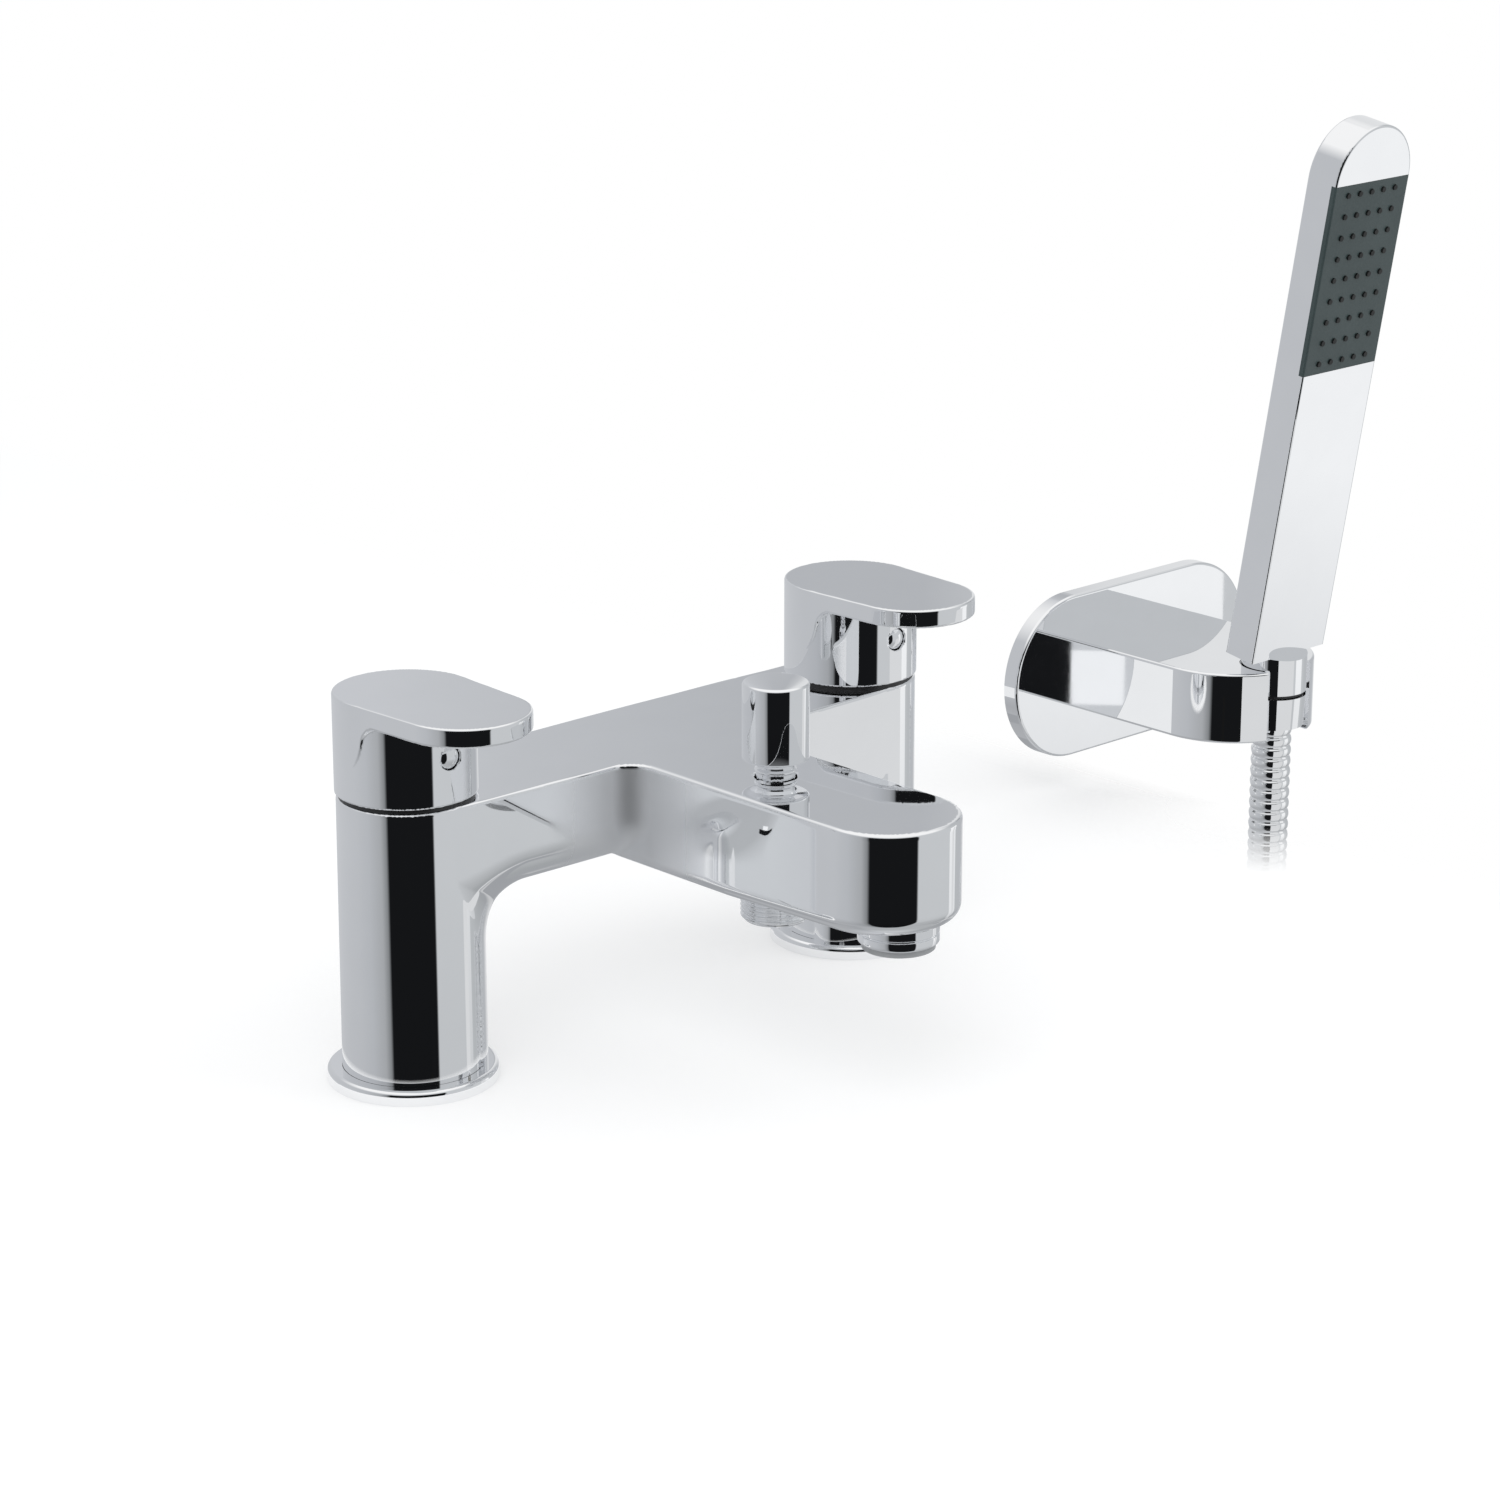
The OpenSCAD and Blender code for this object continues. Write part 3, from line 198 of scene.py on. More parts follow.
# Camera
def make_camera():
    """The photograph's camera. Returns the way it looks, which is fixed in the frame."""
    azimuth, pitch = math.radians(VIEW_AZIMUTH), math.radians(VIEW_PITCH)
    level = math.cos(pitch)
    forward = Vector((math.sin(azimuth) * level, math.cos(azimuth) * level, -math.sin(pitch)))
    data = bpy.data.cameras.new("camera")
    data.sensor_width = SENSOR
    data.lens = SENSOR * FOCAL_PIXELS / PHOTO_PIXELS
    data.clip_start = 0.05
    data.clip_end = 50.0
    camera = place_object("camera", data)
    camera.location = Vector(VIEW_TARGET) - forward * VIEW_DISTANCE
    turn_to(camera, forward, "-Z")
    bpy.context.scene.camera = camera
    return forward


VIEW = make_camera()


# Node helpers
def new_material(name):
    material = bpy.data.materials.new(name)
    material.use_nodes = True
    material.node_tree.nodes.clear()
    return material, material.node_tree


def add(tree, kind, **values):
    node = tree.nodes.new(kind)
    for key, value in values.items():
        setattr(node, key, value)
    return node


def math_node(tree, op, a, b=None, clamp=False):
    node = add(tree, "ShaderNodeMath", operation=op, use_clamp=clamp)
    for i, value in enumerate((a, b)):
        if value is None:
            continue
        if isinstance(value, (int, float)):
            node.inputs[i].default_value = value
        else:
            tree.links.new(value, node.inputs[i])
    return node.outputs[0]


def object_place(tree):
    return add(tree, "ShaderNodeTexCoord").outputs["Object"]


def split(tree, vector):
    """The x, y and z of a vector, by the names X, Y and Z."""
    node = add(tree, "ShaderNodeSeparateXYZ")
    tree.links.new(vector, node.inputs[0])
    return node.outputs


def product(tree, a, b):
    return math_node(tree, "MULTIPLY", a, b)


def diagonal(tree, a, b):
    """Length of the diagonal of two sides."""
    squares = math_node(tree, "ADD", product(tree, a, a), product(tree, b, b))
    return math_node(tree, "SQRT", squares)


def noise(tree, scale, detail, rough, vector=None):
    node = add(tree, "ShaderNodeTexNoise")
    node.inputs["Scale"].default_value = scale
    node.inputs["Detail"].default_value = detail
    node.inputs["Roughness"].default_value = rough
    if vector is None:
        vector = object_place(tree)
    tree.links.new(vector, node.inputs["Vector"])
    return node.outputs["Fac"]


def stretched_noise(tree, scale, detail, rough):
    """Noise with a scale of its own along x, y and z, for marks that run one way."""
    stretch = add(tree, "ShaderNodeMapping")
    stretch.inputs["Scale"].default_value = scale
    tree.links.new(object_place(tree), stretch.inputs["Vector"])
    return noise(tree, 1.0, detail, rough, stretch.outputs[0])


def ramp(tree, factor, stops):
    """Colours that change evenly between (place, colour) stops, with places from 0 to 1."""
    node = add(tree, "ShaderNodeValToRGB")
    elements = node.color_ramp.elements
    while len(elements) < len(stops):
        elements.new(1.0)
    for i, (place, colour) in enumerate(stops):
        elements[i].position = place
        elements[i].color = (*colour, 1.0)
    tree.links.new(factor, node.inputs["Fac"])
    return node.outputs["Color"]


def remap(tree, value, low, high, to_low, to_high):
    node = add(tree, "ShaderNodeMapRange")
    tree.links.new(value, node.inputs[0])
    for i, limit in enumerate((low, high, to_low, to_high)):
        node.inputs[1 + i].default_value = limit
    return node.outputs[0]


def mixed(tree, factor, a, b, blend="MIX"):
    """Colour a, changing to b (or blended with it) as the factor goes from 0 to 1."""
    node = add(tree, "ShaderNodeMix", data_type="RGBA", blend_type=blend)
    for socket, value in (("Factor", factor), ("A", a), ("B", b)):
        if isinstance(value, (float, tuple)):
            node.inputs[socket].default_value = value
        else:
            tree.links.new(value, node.inputs[socket])
    return node.outputs["Result"]


def mixed_shaders(tree, factor, a, b):
    node = add(tree, "ShaderNodeMixShader")
    for i, value in enumerate((factor, a, b)):
        tree.links.new(value, node.inputs[i])
    return node.outputs[0]


def show(tree, surface):
    node = add(tree, "ShaderNodeOutputMaterial")
    tree.links.new(surface, node.inputs["Surface"])


def shader(tree, metallic):
    node = add(tree, "ShaderNodeBsdfPrincipled")
    node.inputs["Metallic"].default_value = metallic
    show(tree, node.outputs[0])
    return node


def seen_directly(tree, path):
    """1 for what the camera sees, also in a mirror or through glass, and 0 for light on a surface."""
    seen = math_node(tree, "MAXIMUM", path["Is Camera Ray"], path["Is Transmission Ray"], True)
    return math_node(tree, "MAXIMUM", seen, path["Is Glossy Ray"], True)


def bump(tree, surface, height, strength, distance):
    node = add(tree, "ShaderNodeBump")
    node.inputs["Strength"].default_value = strength
    node.inputs["Distance"].default_value = distance
    tree.links.new(height, node.inputs["Height"])
    tree.links.new(node.outputs[0], surface.inputs["Normal"])


# Materials
NOISE_SPAN = (0.3, 0.7)
GLOSS_SPREAD = 0.06


def varied(tree, marks, low, high):
    """A value that goes from low to high over the range that most of a noise lies in."""
    return remap(tree, marks, *NOISE_SPAN, low, high)


def tinted(tree, marks, low, high):
    """A colour that goes from low to high over the same range."""
    return ramp(tree, marks, list(zip(NOISE_SPAN, (low, high))))


def inner_corner(tree):
    """1 in the corners between bridge and spout, which get a softer gloss by guess, and 0 elsewhere."""
    place = split(tree, object_place(tree))
    aside = math_node(tree, "SUBTRACT", math_node(tree, "ABSOLUTE", place["X"]), SPOUT_HALF * MM)
    ahead = math_node(tree, "ADD", place["Y"], BRIDGE_HALF * MM)
    near = remap(tree, diagonal(tree, aside, ahead), CORNER_NEAR * MM, CORNER_FAR * MM, 1.0, 0.0)
    low, high = ((TOP_Z - down) * MM for down in CORNER_BELOW_TOP)
    return product(tree, near, remap(tree, place["Z"], low, high, 1.0, 0.0))


def chrome(name, tint, rough_low, rough_high, corners=False):
    """Polished plating: faint cloudy polish marks in its gloss and the slightest uneven tint."""
    material, tree = new_material(name)
    surface = shader(tree, metallic=1.0)
    cloud = noise(tree, scale=55.0, detail=4.0, rough=0.6)
    fine = noise(tree, scale=900.0, detail=2.0, rough=0.5)
    marks = math_node(tree, "ADD", product(tree, cloud, 0.7), product(tree, fine, 0.3))
    rough = varied(tree, marks, rough_low, rough_high)
    if corners:
        rough = math_node(tree, "ADD", rough, product(tree, inner_corner(tree), CORNER_ROUGHNESS))
    tree.links.new(rough, surface.inputs["Roughness"])
    low = tuple(c * 0.985 for c in tint)
    tree.links.new(ramp(tree, cloud, [(0.35, low), (0.65, tint)]), surface.inputs["Base Color"])
    return material


def brass(name):
    """Machined brass: fine turning marks round the axis of the part and small colour changes."""
    material, tree = new_material(name)
    surface = shader(tree, metallic=1.0)
    marks = stretched_noise(tree, scale=(60.0, 60.0, 2600.0), detail=2.0, rough=0.5)
    cloud = noise(tree, scale=40.0, detail=3.0, rough=0.55)
    colour = tinted(tree, cloud, (0.50, 0.34, 0.13), (0.66, 0.48, 0.21))
    tree.links.new(colour, surface.inputs["Base Color"])
    tree.links.new(varied(tree, marks, 0.22, 0.36), surface.inputs["Roughness"])
    bump(tree, surface, marks, strength=0.25, distance=0.00005)
    return material


def moulded(name, low, high, roughness, grain=0.25, scale=700.0):
    """Moulded plastic or rubber with a fine grain and a little colour variation."""
    material, tree = new_material(name)
    surface = shader(tree, metallic=0.0)
    fine = noise(tree, scale, detail=3.0, rough=0.6)
    cloud = noise(tree, scale=45.0, detail=3.0, rough=0.5)
    tree.links.new(tinted(tree, cloud, low, high), surface.inputs["Base Color"])
    rough = varied(tree, fine, roughness - GLOSS_SPREAD, roughness + GLOSS_SPREAD)
    tree.links.new(rough, surface.inputs["Roughness"])
    bump(tree, surface, fine, grain, distance=0.00006)
    return material


def steel(name):
    """Plain steel with a grain that runs along x."""
    material, tree = new_material(name)
    surface = shader(tree, metallic=1.0)
    grain = stretched_noise(tree, scale=(90.0, 2200.0, 2200.0), detail=2.0, rough=0.5)
    colour = tinted(tree, grain, (0.42, 0.42, 0.43), (0.58, 0.58, 0.59))
    tree.links.new(colour, surface.inputs["Base Color"])
    tree.links.new(varied(tree, grain, 0.26, 0.4), surface.inputs["Roughness"])
    bump(tree, surface, grain, strength=0.2, distance=0.00004)
    return material


MATERIALS = {
    "chrome": chrome("chrome_plating", (0.90, 0.905, 0.915), 0.012, 0.03),
    "body_chrome": chrome("body_plating", (0.90, 0.905, 0.915), 0.012, 0.03, corners=True),
    "brass": brass("machined_brass"),
    "rubber": moulded("washer_rubber", (0.014, 0.014, 0.015), (0.026, 0.026, 0.027), 0.68),
    "steel": steel("plain_steel"),
    "ceramic": moulded("valve_ceramic", (0.78, 0.77, 0.73), (0.86, 0.85, 0.81), 0.16, 0.03),
    "black_plastic": moulded("black_ring", (0.010, 0.010, 0.011), (0.018, 0.018, 0.019), 0.35),
    "white_plastic": moulded("check_valve_plastic", (0.72, 0.71, 0.66), (0.80, 0.79, 0.74), 0.4),
    "grey_plastic": moulded("aerator_plastic", (0.36, 0.37, 0.38), (0.45, 0.46, 0.47), 0.38),
    "spray_face": moulded("spray_face", (0.036, 0.056, 0.057), (0.044, 0.066, 0.067), 0.42, 0.12, 1400.0),
    "nozzle_rubber": moulded("nozzle_silicone", (0.004, 0.005, 0.005), (0.008, 0.009, 0.009), 0.5),
    "hose_metal": chrome("hose_strip", (0.90, 0.905, 0.91), 0.03, 0.08),
    "tie_band": moulded("tie_band_plastic", (0.70, 0.70, 0.69), (0.78, 0.78, 0.77), 0.45),
}

slot_of = {part["node"]: part["material_slot"] for part in frame["record"]["subparts"]}
for name, obj in nodes.items():
    obj.data.materials.clear()
    obj.data.materials.append(MATERIALS[slot_of[name]])


# the deck that the floor stands for would hide these from the polished parts above it
for side in ("hot", "cold"):
    for part in ("tail", "rubber_washer", "clamp_washer", "backnut"):
        nodes[f"{side}_{part}"].visible_glossy = False
for name in ("hose_ties", "hose_end_nut", "hose_end_washer"):
    nodes[name].visible_glossy = False


# Mesh helpers
def make_object(name, verts, faces, look, body, replaced, sharp=None):
    """A mesh piece from points in millimetres, riding on a CAD body unless that is None."""
    mesh = bpy.data.meshes.new(name)
    mesh.from_pydata((np.asarray(verts, float) * MM).tolist(), [], faces)
    mesh.validate()
    mesh.update()
    for polygon in mesh.polygons:
        polygon.use_smooth = True
    if sharp is not None:
        mesh.set_sharp_from_angle(angle=math.radians(sharp))
    obj = place_object(name, mesh)
    mesh.materials.append(MATERIALS[look])
    if body:
        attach(obj, body)
    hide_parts(*replaced)
    return obj


def tube(rings, closed_ends=True):
    """Points and faces of a tube through rings of equally many points."""
    count = len(rings[0])
    verts = np.concatenate(rings)
    faces = []
    for i in range(len(rings) - 1):
        a, b = i * count, (i + 1) * count
        for k in range(count):
            n = (k + 1) % count
            faces.append((a + k, a + n, b + n, b + k))
    if closed_ends:
        faces.append(tuple(range(count - 1, -1, -1)))
        last = (len(rings) - 1) * count
        faces.append(tuple(last + k for k in range(count)))
    return verts, faces


# Smooth cast forms
def round_union(a, b, r):
    """Two fields joined with a hollow fillet of radius r."""
    return np.maximum(r, np.minimum(a, b)) - np.hypot(np.maximum(r - a, 0.0), np.maximum(r - b, 0.0))


def round_cut(a, b, r):
    """What two fields share, with its edge rounded to radius r."""
    return np.minimum(-r, np.maximum(a, b)) + np.hypot(np.maximum(r + a, 0.0), np.maximum(r + b, 0.0))


def rod(x, y, z, centre, r, low, high):
    return np.maximum(np.hypot(x - centre[0], y - centre[1]) - r, np.maximum(low - z, z - high))


def smooth_step(value, low, high):
    t = np.clip((value - low) / (high - low), 0.0, 1.0)
    return t * t * (3.0 - 2.0 * t)


# axes of the bores, as x and y, and each bore's axis, radius, and lowest and highest z
PILLAR_AXIS = (PILLAR_X, 0.0)
DIVERTER_AXIS = (0.0, -DIVERTER_REACH)
AERATOR_AXIS = (0.0, -AERATOR_REACH)
BODY_BORES = (
    (PILLAR_AXIS, 13.3, -9.0, 20.0),
    (PILLAR_AXIS, 15.0, 20.0, 50.0),
    (PILLAR_AXIS, 5.5, 49.0, 58.0),
    (PILLAR_AXIS, 10.5, 57.0, 99.0),
    (DIVERTER_AXIS, 10.3, 40.0, 61.0),
    (DIVERTER_AXIS, 9.5, 60.0, 78.5),
    (DIVERTER_AXIS, 6.3, 78.0, 99.0),
    (AERATOR_AXIS, 11.05, 40.0, 69.0),
    (AERATOR_AXIS, 8.5, 60.0, 78.5),
)


def bridge_field(x, y, z, pillar):
    """Bridge between the pillars, arched below and run into them in plan."""
    half = BRIDGE_HALF - (BRIDGE_HALF - PILLAR_TOP_R) * (x / PILLAR_X) ** 2
    arch = round_union(pillar, BRIDGE_LOW_Z - z, ARCH_R)
    bridge = np.maximum(round_cut(arch, np.abs(y) - half, BRIDGE_EDGE_R), np.abs(x) - PILLAR_X)
    across = np.clip((np.abs(y) - BRIDGE_FLAT_HALF) / (half - BRIDGE_FLAT_HALF), 0.0, 1.0)
    return round_union(bridge, pillar, PILLAR_FILLET_R * across * (1.0 - across))


def spout_field(x, y, z):
    """Flat spout with a round tip; its underside rises a little past the diverter."""
    plan = np.hypot(x, np.minimum(y + SPOUT_REACH, 0.0)) - SPOUT_HALF
    tip_y = -SPOUT_REACH - SPOUT_HALF
    slant = np.clip((-DIVERTER_REACH - y) / (-DIVERTER_REACH - tip_y), 0.0, 1.0)
    low = SPOUT_LOW_Z + slant * (SPOUT_TIP_LOW_Z - SPOUT_LOW_Z)
    spout = round_cut(plan, low - z, SPOUT_EDGE_R)
    return round_cut(spout, y - SPOUT_BACK_Y, SPOUT_BACK_R)


def body_field(x, y, z):
    """Cast body: pillars, bridge with its arches and spout, all run together; negative inside."""
    ax = np.abs(x)
    taper = (PILLAR_FOOT_R - PILLAR_TOP_R) / (TOP_Z - PILLAR_LOW_Z)
    pillar = np.hypot(ax - PILLAR_X, y) - (PILLAR_FOOT_R - (z - PILLAR_LOW_Z) * taper)
    body = bridge_field(x, y, z, pillar)
    small, large = SPOUT_FILLET_R
    fillet = small + (large - small) * smooth_step(z, *SPOUT_FILLET_Z)
    body = round_union(body, spout_field(x, y, z), fillet)
    past_bridge = smooth_step(-y, BRIDGE_HALF, BRIDGE_HALF + SPOUT_TOP_EDGE_RUN)
    body = round_cut(body, z - TOP_Z, TOP_EDGE_R + SPOUT_TOP_EDGE_MORE * past_bridge)
    body = np.maximum(body, PILLAR_LOW_Z - z)
    body = np.minimum(body, rod(x, y, z, AERATOR_AXIS, AERATOR_LAND_R, *AERATOR_LAND_Z))
    for bore in BODY_BORES:
        body = np.maximum(body, -rod(ax, y, z, *bore))
    return body


# side view of the hollow sweep under a lever: z, and the y of the wall there
SWEEP = np.array([
    (86.0, 24.0), (88.3, 18.0), (90.8, 10.8), (93.2, 6.8), (96.6, 2.0),
    (101.1, -2.9), (106.2, -5.3), (111.2, -6.2), (120.5, -6.7),
])
SWEEP_STEPS = 140


def sweep_curve(z):
    """The sweep's y and slope at each height, on a smooth line through its points."""
    zs = np.linspace(SWEEP[0, 0], SWEEP[-1, 0], SWEEP_STEPS)
    slope = np.gradient(SWEEP[:, 1], SWEEP[:, 0])
    i = np.clip(np.searchsorted(SWEEP[:, 0], zs, side="right") - 1, 0, len(SWEEP) - 2)
    step = SWEEP[i + 1, 0] - SWEEP[i, 0]
    t = (zs - SWEEP[i, 0]) / step
    ys = (SWEEP[i, 1] * (2 * t**3 - 3 * t**2 + 1) + SWEEP[i + 1, 1] * (3 * t**2 - 2 * t**3)
          + step * (slope[i] * (t**3 - 2 * t**2 + t) + slope[i + 1] * (t**3 - t**2)))
    return np.interp(z, zs, ys), np.interp(z, zs, np.gradient(ys, zs))


def lever_plan(x, y, skirt):
    """Lever seen from above: the skirt's circle run out to a smaller circle at the tip."""
    lean = (HANDLE_R - LEVER_TIP_R) / LEVER_REACH
    across = math.sqrt(1.0 - lean * lean)
    ax = np.abs(x)
    along = -ax * lean - y * across
    tip = np.hypot(x, y + LEVER_REACH) - LEVER_TIP_R
    side = ax * across - y * lean - HANDLE_R
    return np.where(along < 0.0, skirt, np.where(along > across * LEVER_REACH, tip, side))


def handle_field(x, y, z):
    """Lever handle about its own axis: hollow skirt, flat lever and the sweep between them."""
    skirt = np.hypot(x, y) - HANDLE_R
    wall_y, slope = sweep_curve(z)
    wall = (wall_y - y) / np.sqrt(1.0 + slope * slope)
    under = round_union(wall, LEVER_LOW_Z - z, SWEEP_R)
    lever = round_cut(lever_plan(x, y, skirt), under, HANDLE_EDGE_R)
    near, far = LEVER_SEAM_Y
    handle = round_union(skirt, lever, LEVER_SEAM_R * np.clip((-y - near) / (far - near), 0.0, 1.0))
    handle = round_cut(handle, z - HANDLE_TOP_Z, HANDLE_EDGE_R)
    handle = round_cut(handle, SKIRT_LOW_Z - z, SKIRT_EDGE_R)
    axis = (0.0, 0.0)
    across = (0.0, CAP_Z)
    stem_boss = rod(x, y, z, axis, BOSS_R, BOSS_LOW_Z, HANDLE_TOP_Z)
    boss = np.minimum(stem_boss, rod(x, z, y, across, CAP_BOSS_R, -HANDLE_R, 0.0))
    for room in (
        np.maximum(rod(x, y, z, axis, SKIRT_IN_R, HOLLOW_LOW_Z, SKIRT_ROOF_Z), -boss),
        rod(x, y, z, axis, STEM_HOLE_R, HOLLOW_LOW_Z, STEM_HOLE_TOP_Z),
        rod(x, z, y, across, SCREW_HOLE_R, -HANDLE_R, 0.0),
        rod(x, z, y, across, CAP_SEAT_R, -HANDLE_R - CAP_SEAT_CLEAR, -HANDLE_R + CAP_SEAT_DEPTH),
    ):
        handle = np.maximum(handle, -room)
    return handle


# how far to each side a field's slope is measured, how often points are moved to the field's surface,
# and the least slope and length that anything is divided by
SLOPE_REACH = 0.04
SETTLE_ROUNDS = 4
LEAST_SLOPE = 0.2
LEAST_LENGTH = 1e-9


def slope_of(field, points):
    slope = np.empty_like(points)
    for k in range(3):
        ahead, behind = points.copy(), points.copy()
        ahead[:, k] += SLOPE_REACH
        behind[:, k] -= SLOPE_REACH
        slope[:, k] = (field(*ahead.T) - field(*behind.T)) / (2.0 * SLOPE_REACH)
    return slope


def surface_of(field, low, high, cell):
    """Points, four-sided faces and exact normals of the skin where a field is zero."""
    lines = [np.arange(a - 1.5 * cell, b + 2.5 * cell, cell) for a, b in zip(low, high)]
    ys, zs = np.meshgrid(lines[1], lines[2], indexing="ij")
    value = np.stack([field(np.full_like(ys, x), ys, zs) for x in lines[0]])
    inside = value < 0.0
    nx, ny, nz = inside.shape
    steps = [(i, j, k) for i in (0, 1) for j in (0, 1) for k in (0, 1)]
    corners = [inside[i:nx - 1 + i, j:ny - 1 + j, k:nz - 1 + k] for i, j, k in steps]
    cells = np.argwhere(np.any(corners, axis=0) & ~np.all(corners, axis=0))
    at_corner = np.stack([value[tuple((cells + s).T)] for s in steps], 1)
    total = np.zeros((len(cells), 3))
    count = np.zeros(len(cells))
    for a in range(8):
        for b in range(a + 1, 8):
            if sum(abs(p - q) for p, q in zip(steps[a], steps[b])) != 1:
                continue
            va, vb = at_corner[:, a], at_corner[:, b]
            hit = (va < 0.0) != (vb < 0.0)
            t = np.where(hit, va / np.where(hit, va - vb, 1.0), 0.0)
            place = np.array(steps[a]) + t[:, None] * (np.array(steps[b]) - np.array(steps[a]))
            total += place * hit[:, None]
            count += hit
    points = np.array([line[0] for line in lines]) + (cells + total / count[:, None]) * cell
    for _ in range(SETTLE_ROUNDS):
        slope = slope_of(field, points)
        size = np.maximum((slope * slope).sum(1), LEAST_SLOPE)
        move = (field(*points.T) / size)[:, None] * slope
        length = np.maximum(np.linalg.norm(move, axis=1), LEAST_LENGTH)[:, None]
        points = points - move * np.minimum(1.0, 0.5 * cell / length)
    normals = slope_of(field, points)
    normals /= np.maximum(np.linalg.norm(normals, axis=1), LEAST_LENGTH)[:, None]
    number = np.full((nx - 1, ny - 1, nz - 1), -1, np.int64)
    number[tuple(cells.T)] = np.arange(len(cells))
    faces = []
    for axis in range(3):
        first = np.take(inside, range(inside.shape[axis] - 1), axis)
        second = np.take(inside, range(1, inside.shape[axis]), axis)
        edges = np.argwhere(first != second)
        outward = first[tuple(edges.T)]
        u, v = np.eye(3, dtype=int)[(axis + 1) % 3], np.eye(3, dtype=int)[(axis + 2) % 3]
        quad = np.stack([number[tuple((edges - o).T)] for o in (u + v, v, 0 * u, u)], 1)
        quad[~outward] = quad[~outward][:, ::-1]
        faces.append(quad)
    return points, np.concatenate(faces), normals


def make_form(name, shape, shift, body, replaced, look="chrome"):
    """A smooth chromed piece in millimetres, with its exact normals kept for the reflections."""
    points, faces, normals = shape
    obj = make_object(name, points + np.array(shift), faces.tolist(), look, body, replaced)
    if len(obj.data.vertices) == len(normals):
        obj.data.normals_split_custom_set_from_vertices(normals.tolist())


def make_body():
    side = PILLAR_X + PILLAR_FOOT_R
    low, high = (-side, -SPOUT_REACH - SPOUT_HALF, PILLAR_LOW_Z), (side, BRIDGE_HALF, TOP_Z)
    shape = surface_of(body_field, low, high, BODY_CELL)
    make_form("mixer_shell", shape, (0.0, 0.0, 0.0), "fixture", ("mixer_body",), "body_chrome")


def make_handles():
    low = (-HANDLE_R, -LEVER_REACH - LEVER_TIP_R, SKIRT_LOW_Z)
    shape = surface_of(handle_field, low, (HANDLE_R, HANDLE_R, HANDLE_TOP_Z), HANDLE_CELL)
    for side, x in (("hot", -PILLAR_X), ("cold", PILLAR_X)):
        make_form(f"{side}_lever_shell", shape, (x, 0.0, 0.0), f"{side}_lever", (f"{side}_handle",))


def lathe(profile, centre, sides):
    """Points and faces turned from an outline of (radius, height) about an upright axis."""
    angles = np.arange(sides) * 2.0 * math.pi / sides
    across, along = np.cos(angles), np.sin(angles)
    rings = [
        np.column_stack([centre[0] + r * across, centre[1] + r * along, np.full(sides, z)])
        for r, z in profile
    ]
    return tube(rings, closed_ends=False)


def lathe_filled(profile, centre, sides):
    """The same with a flat face at the outline's first and last height."""
    verts, faces = lathe(profile, centre, sides)
    faces.append(tuple(range(sides - 1, -1, -1)))
    faces.append(tuple((len(profile) - 1) * sides + k for k in range(sides)))
    return verts, faces


def arc(centre, r, start, end, count):
    turns = np.radians(np.linspace(start, end, count))
    return [(centre[0] + r * math.cos(a), centre[1] + r * math.sin(a)) for a in turns]


def dome(top, ball_r, radii):
    """Outline of a ball's cap from its rim inward, with its crown at the height top."""
    return [(r, top - ball_r + math.sqrt(ball_r**2 - r * r)) for r in radii]


def make_knob():
    """Diverter knob: soft rims, a low dome, and a stepped neck with a ring."""
    rim_z = KNOB_TOP_Z - KNOB_DOME_DROP
    stem_r, neck_r, waist_r = 3.1, 5.85, 5.6
    neck_low_z, ring_z, ring_r = 79.0, 89.95, 0.5
    profile = [(stem_r, 86.2), (stem_r, neck_low_z), (neck_r, neck_low_z), (neck_r, 89.2), (6.1, 89.4)]
    profile += arc((5.8, ring_z), ring_r, -50, 50, 7)
    profile += [(neck_r, 90.5), (waist_r, 90.8), (waist_r, 92.3), (5.9, 93.0), (6.4, KNOB_LOW_Z)]
    low_edge = (KNOB_R - KNOB_LOW_EDGE_R, KNOB_LOW_Z + KNOB_LOW_EDGE_R)
    profile += arc(low_edge, KNOB_LOW_EDGE_R, -90, 0, 7)
    top_edge = (KNOB_R - KNOB_TOP_EDGE_R, rim_z - KNOB_TOP_EDGE_R)
    profile += arc(top_edge, KNOB_TOP_EDGE_R, 0, 83, 12)
    profile += dome(KNOB_TOP_Z, KNOB_DOME_R, (7.5, 6.0, 4.5, 3.0, 1.5, 0.4))
    verts, faces = lathe_filled(profile, DIVERTER_AXIS, KNOB_SIDES)
    make_object("diverter_cap", verts, faces, "chrome", "diverter", ("diverter_knob",), sharp=38)


def make_caps():
    """Domed index caps, each set in its hole with a thin dark gap round it."""
    crown = dome(HANDLE_R + CAP_PROUD, CAP_DOME_R, np.linspace(CAP_RIM_R, CAP_CROWN_R, CAP_RINGS))
    profile = [(CAP_R, HANDLE_R - CAP_DEPTH), (CAP_R, crown[0][1] - CAP_RIM_DROP)] + crown
    verts, faces = lathe_filled(profile, (0.0, 0.0), CAP_SIDES)
    upright = np.column_stack([verts[:, 0], -verts[:, 2], verts[:, 1] + CAP_Z])
    for side, x in (("hot", -PILLAR_X), ("cold", PILLAR_X)):
        make_object(f"{side}_cap", upright + np.array([x, 0.0, 0.0]), faces, "chrome",
                    f"{side}_lever", (f"{side}_index_cap",), sharp=50)


def turned(name, profile, centre, sides, replaced):
    """A turned part of the fixture from a closed outline that runs up inside and down outside."""
    verts, faces = lathe(profile + profile[:1], centre, sides)
    last = len(profile) * sides
    faces = [tuple(v - last if v >= last else v for v in f) for f in faces]
    make_object(name, verts[:last], faces, "chrome", "fixture", replaced, sharp=38)


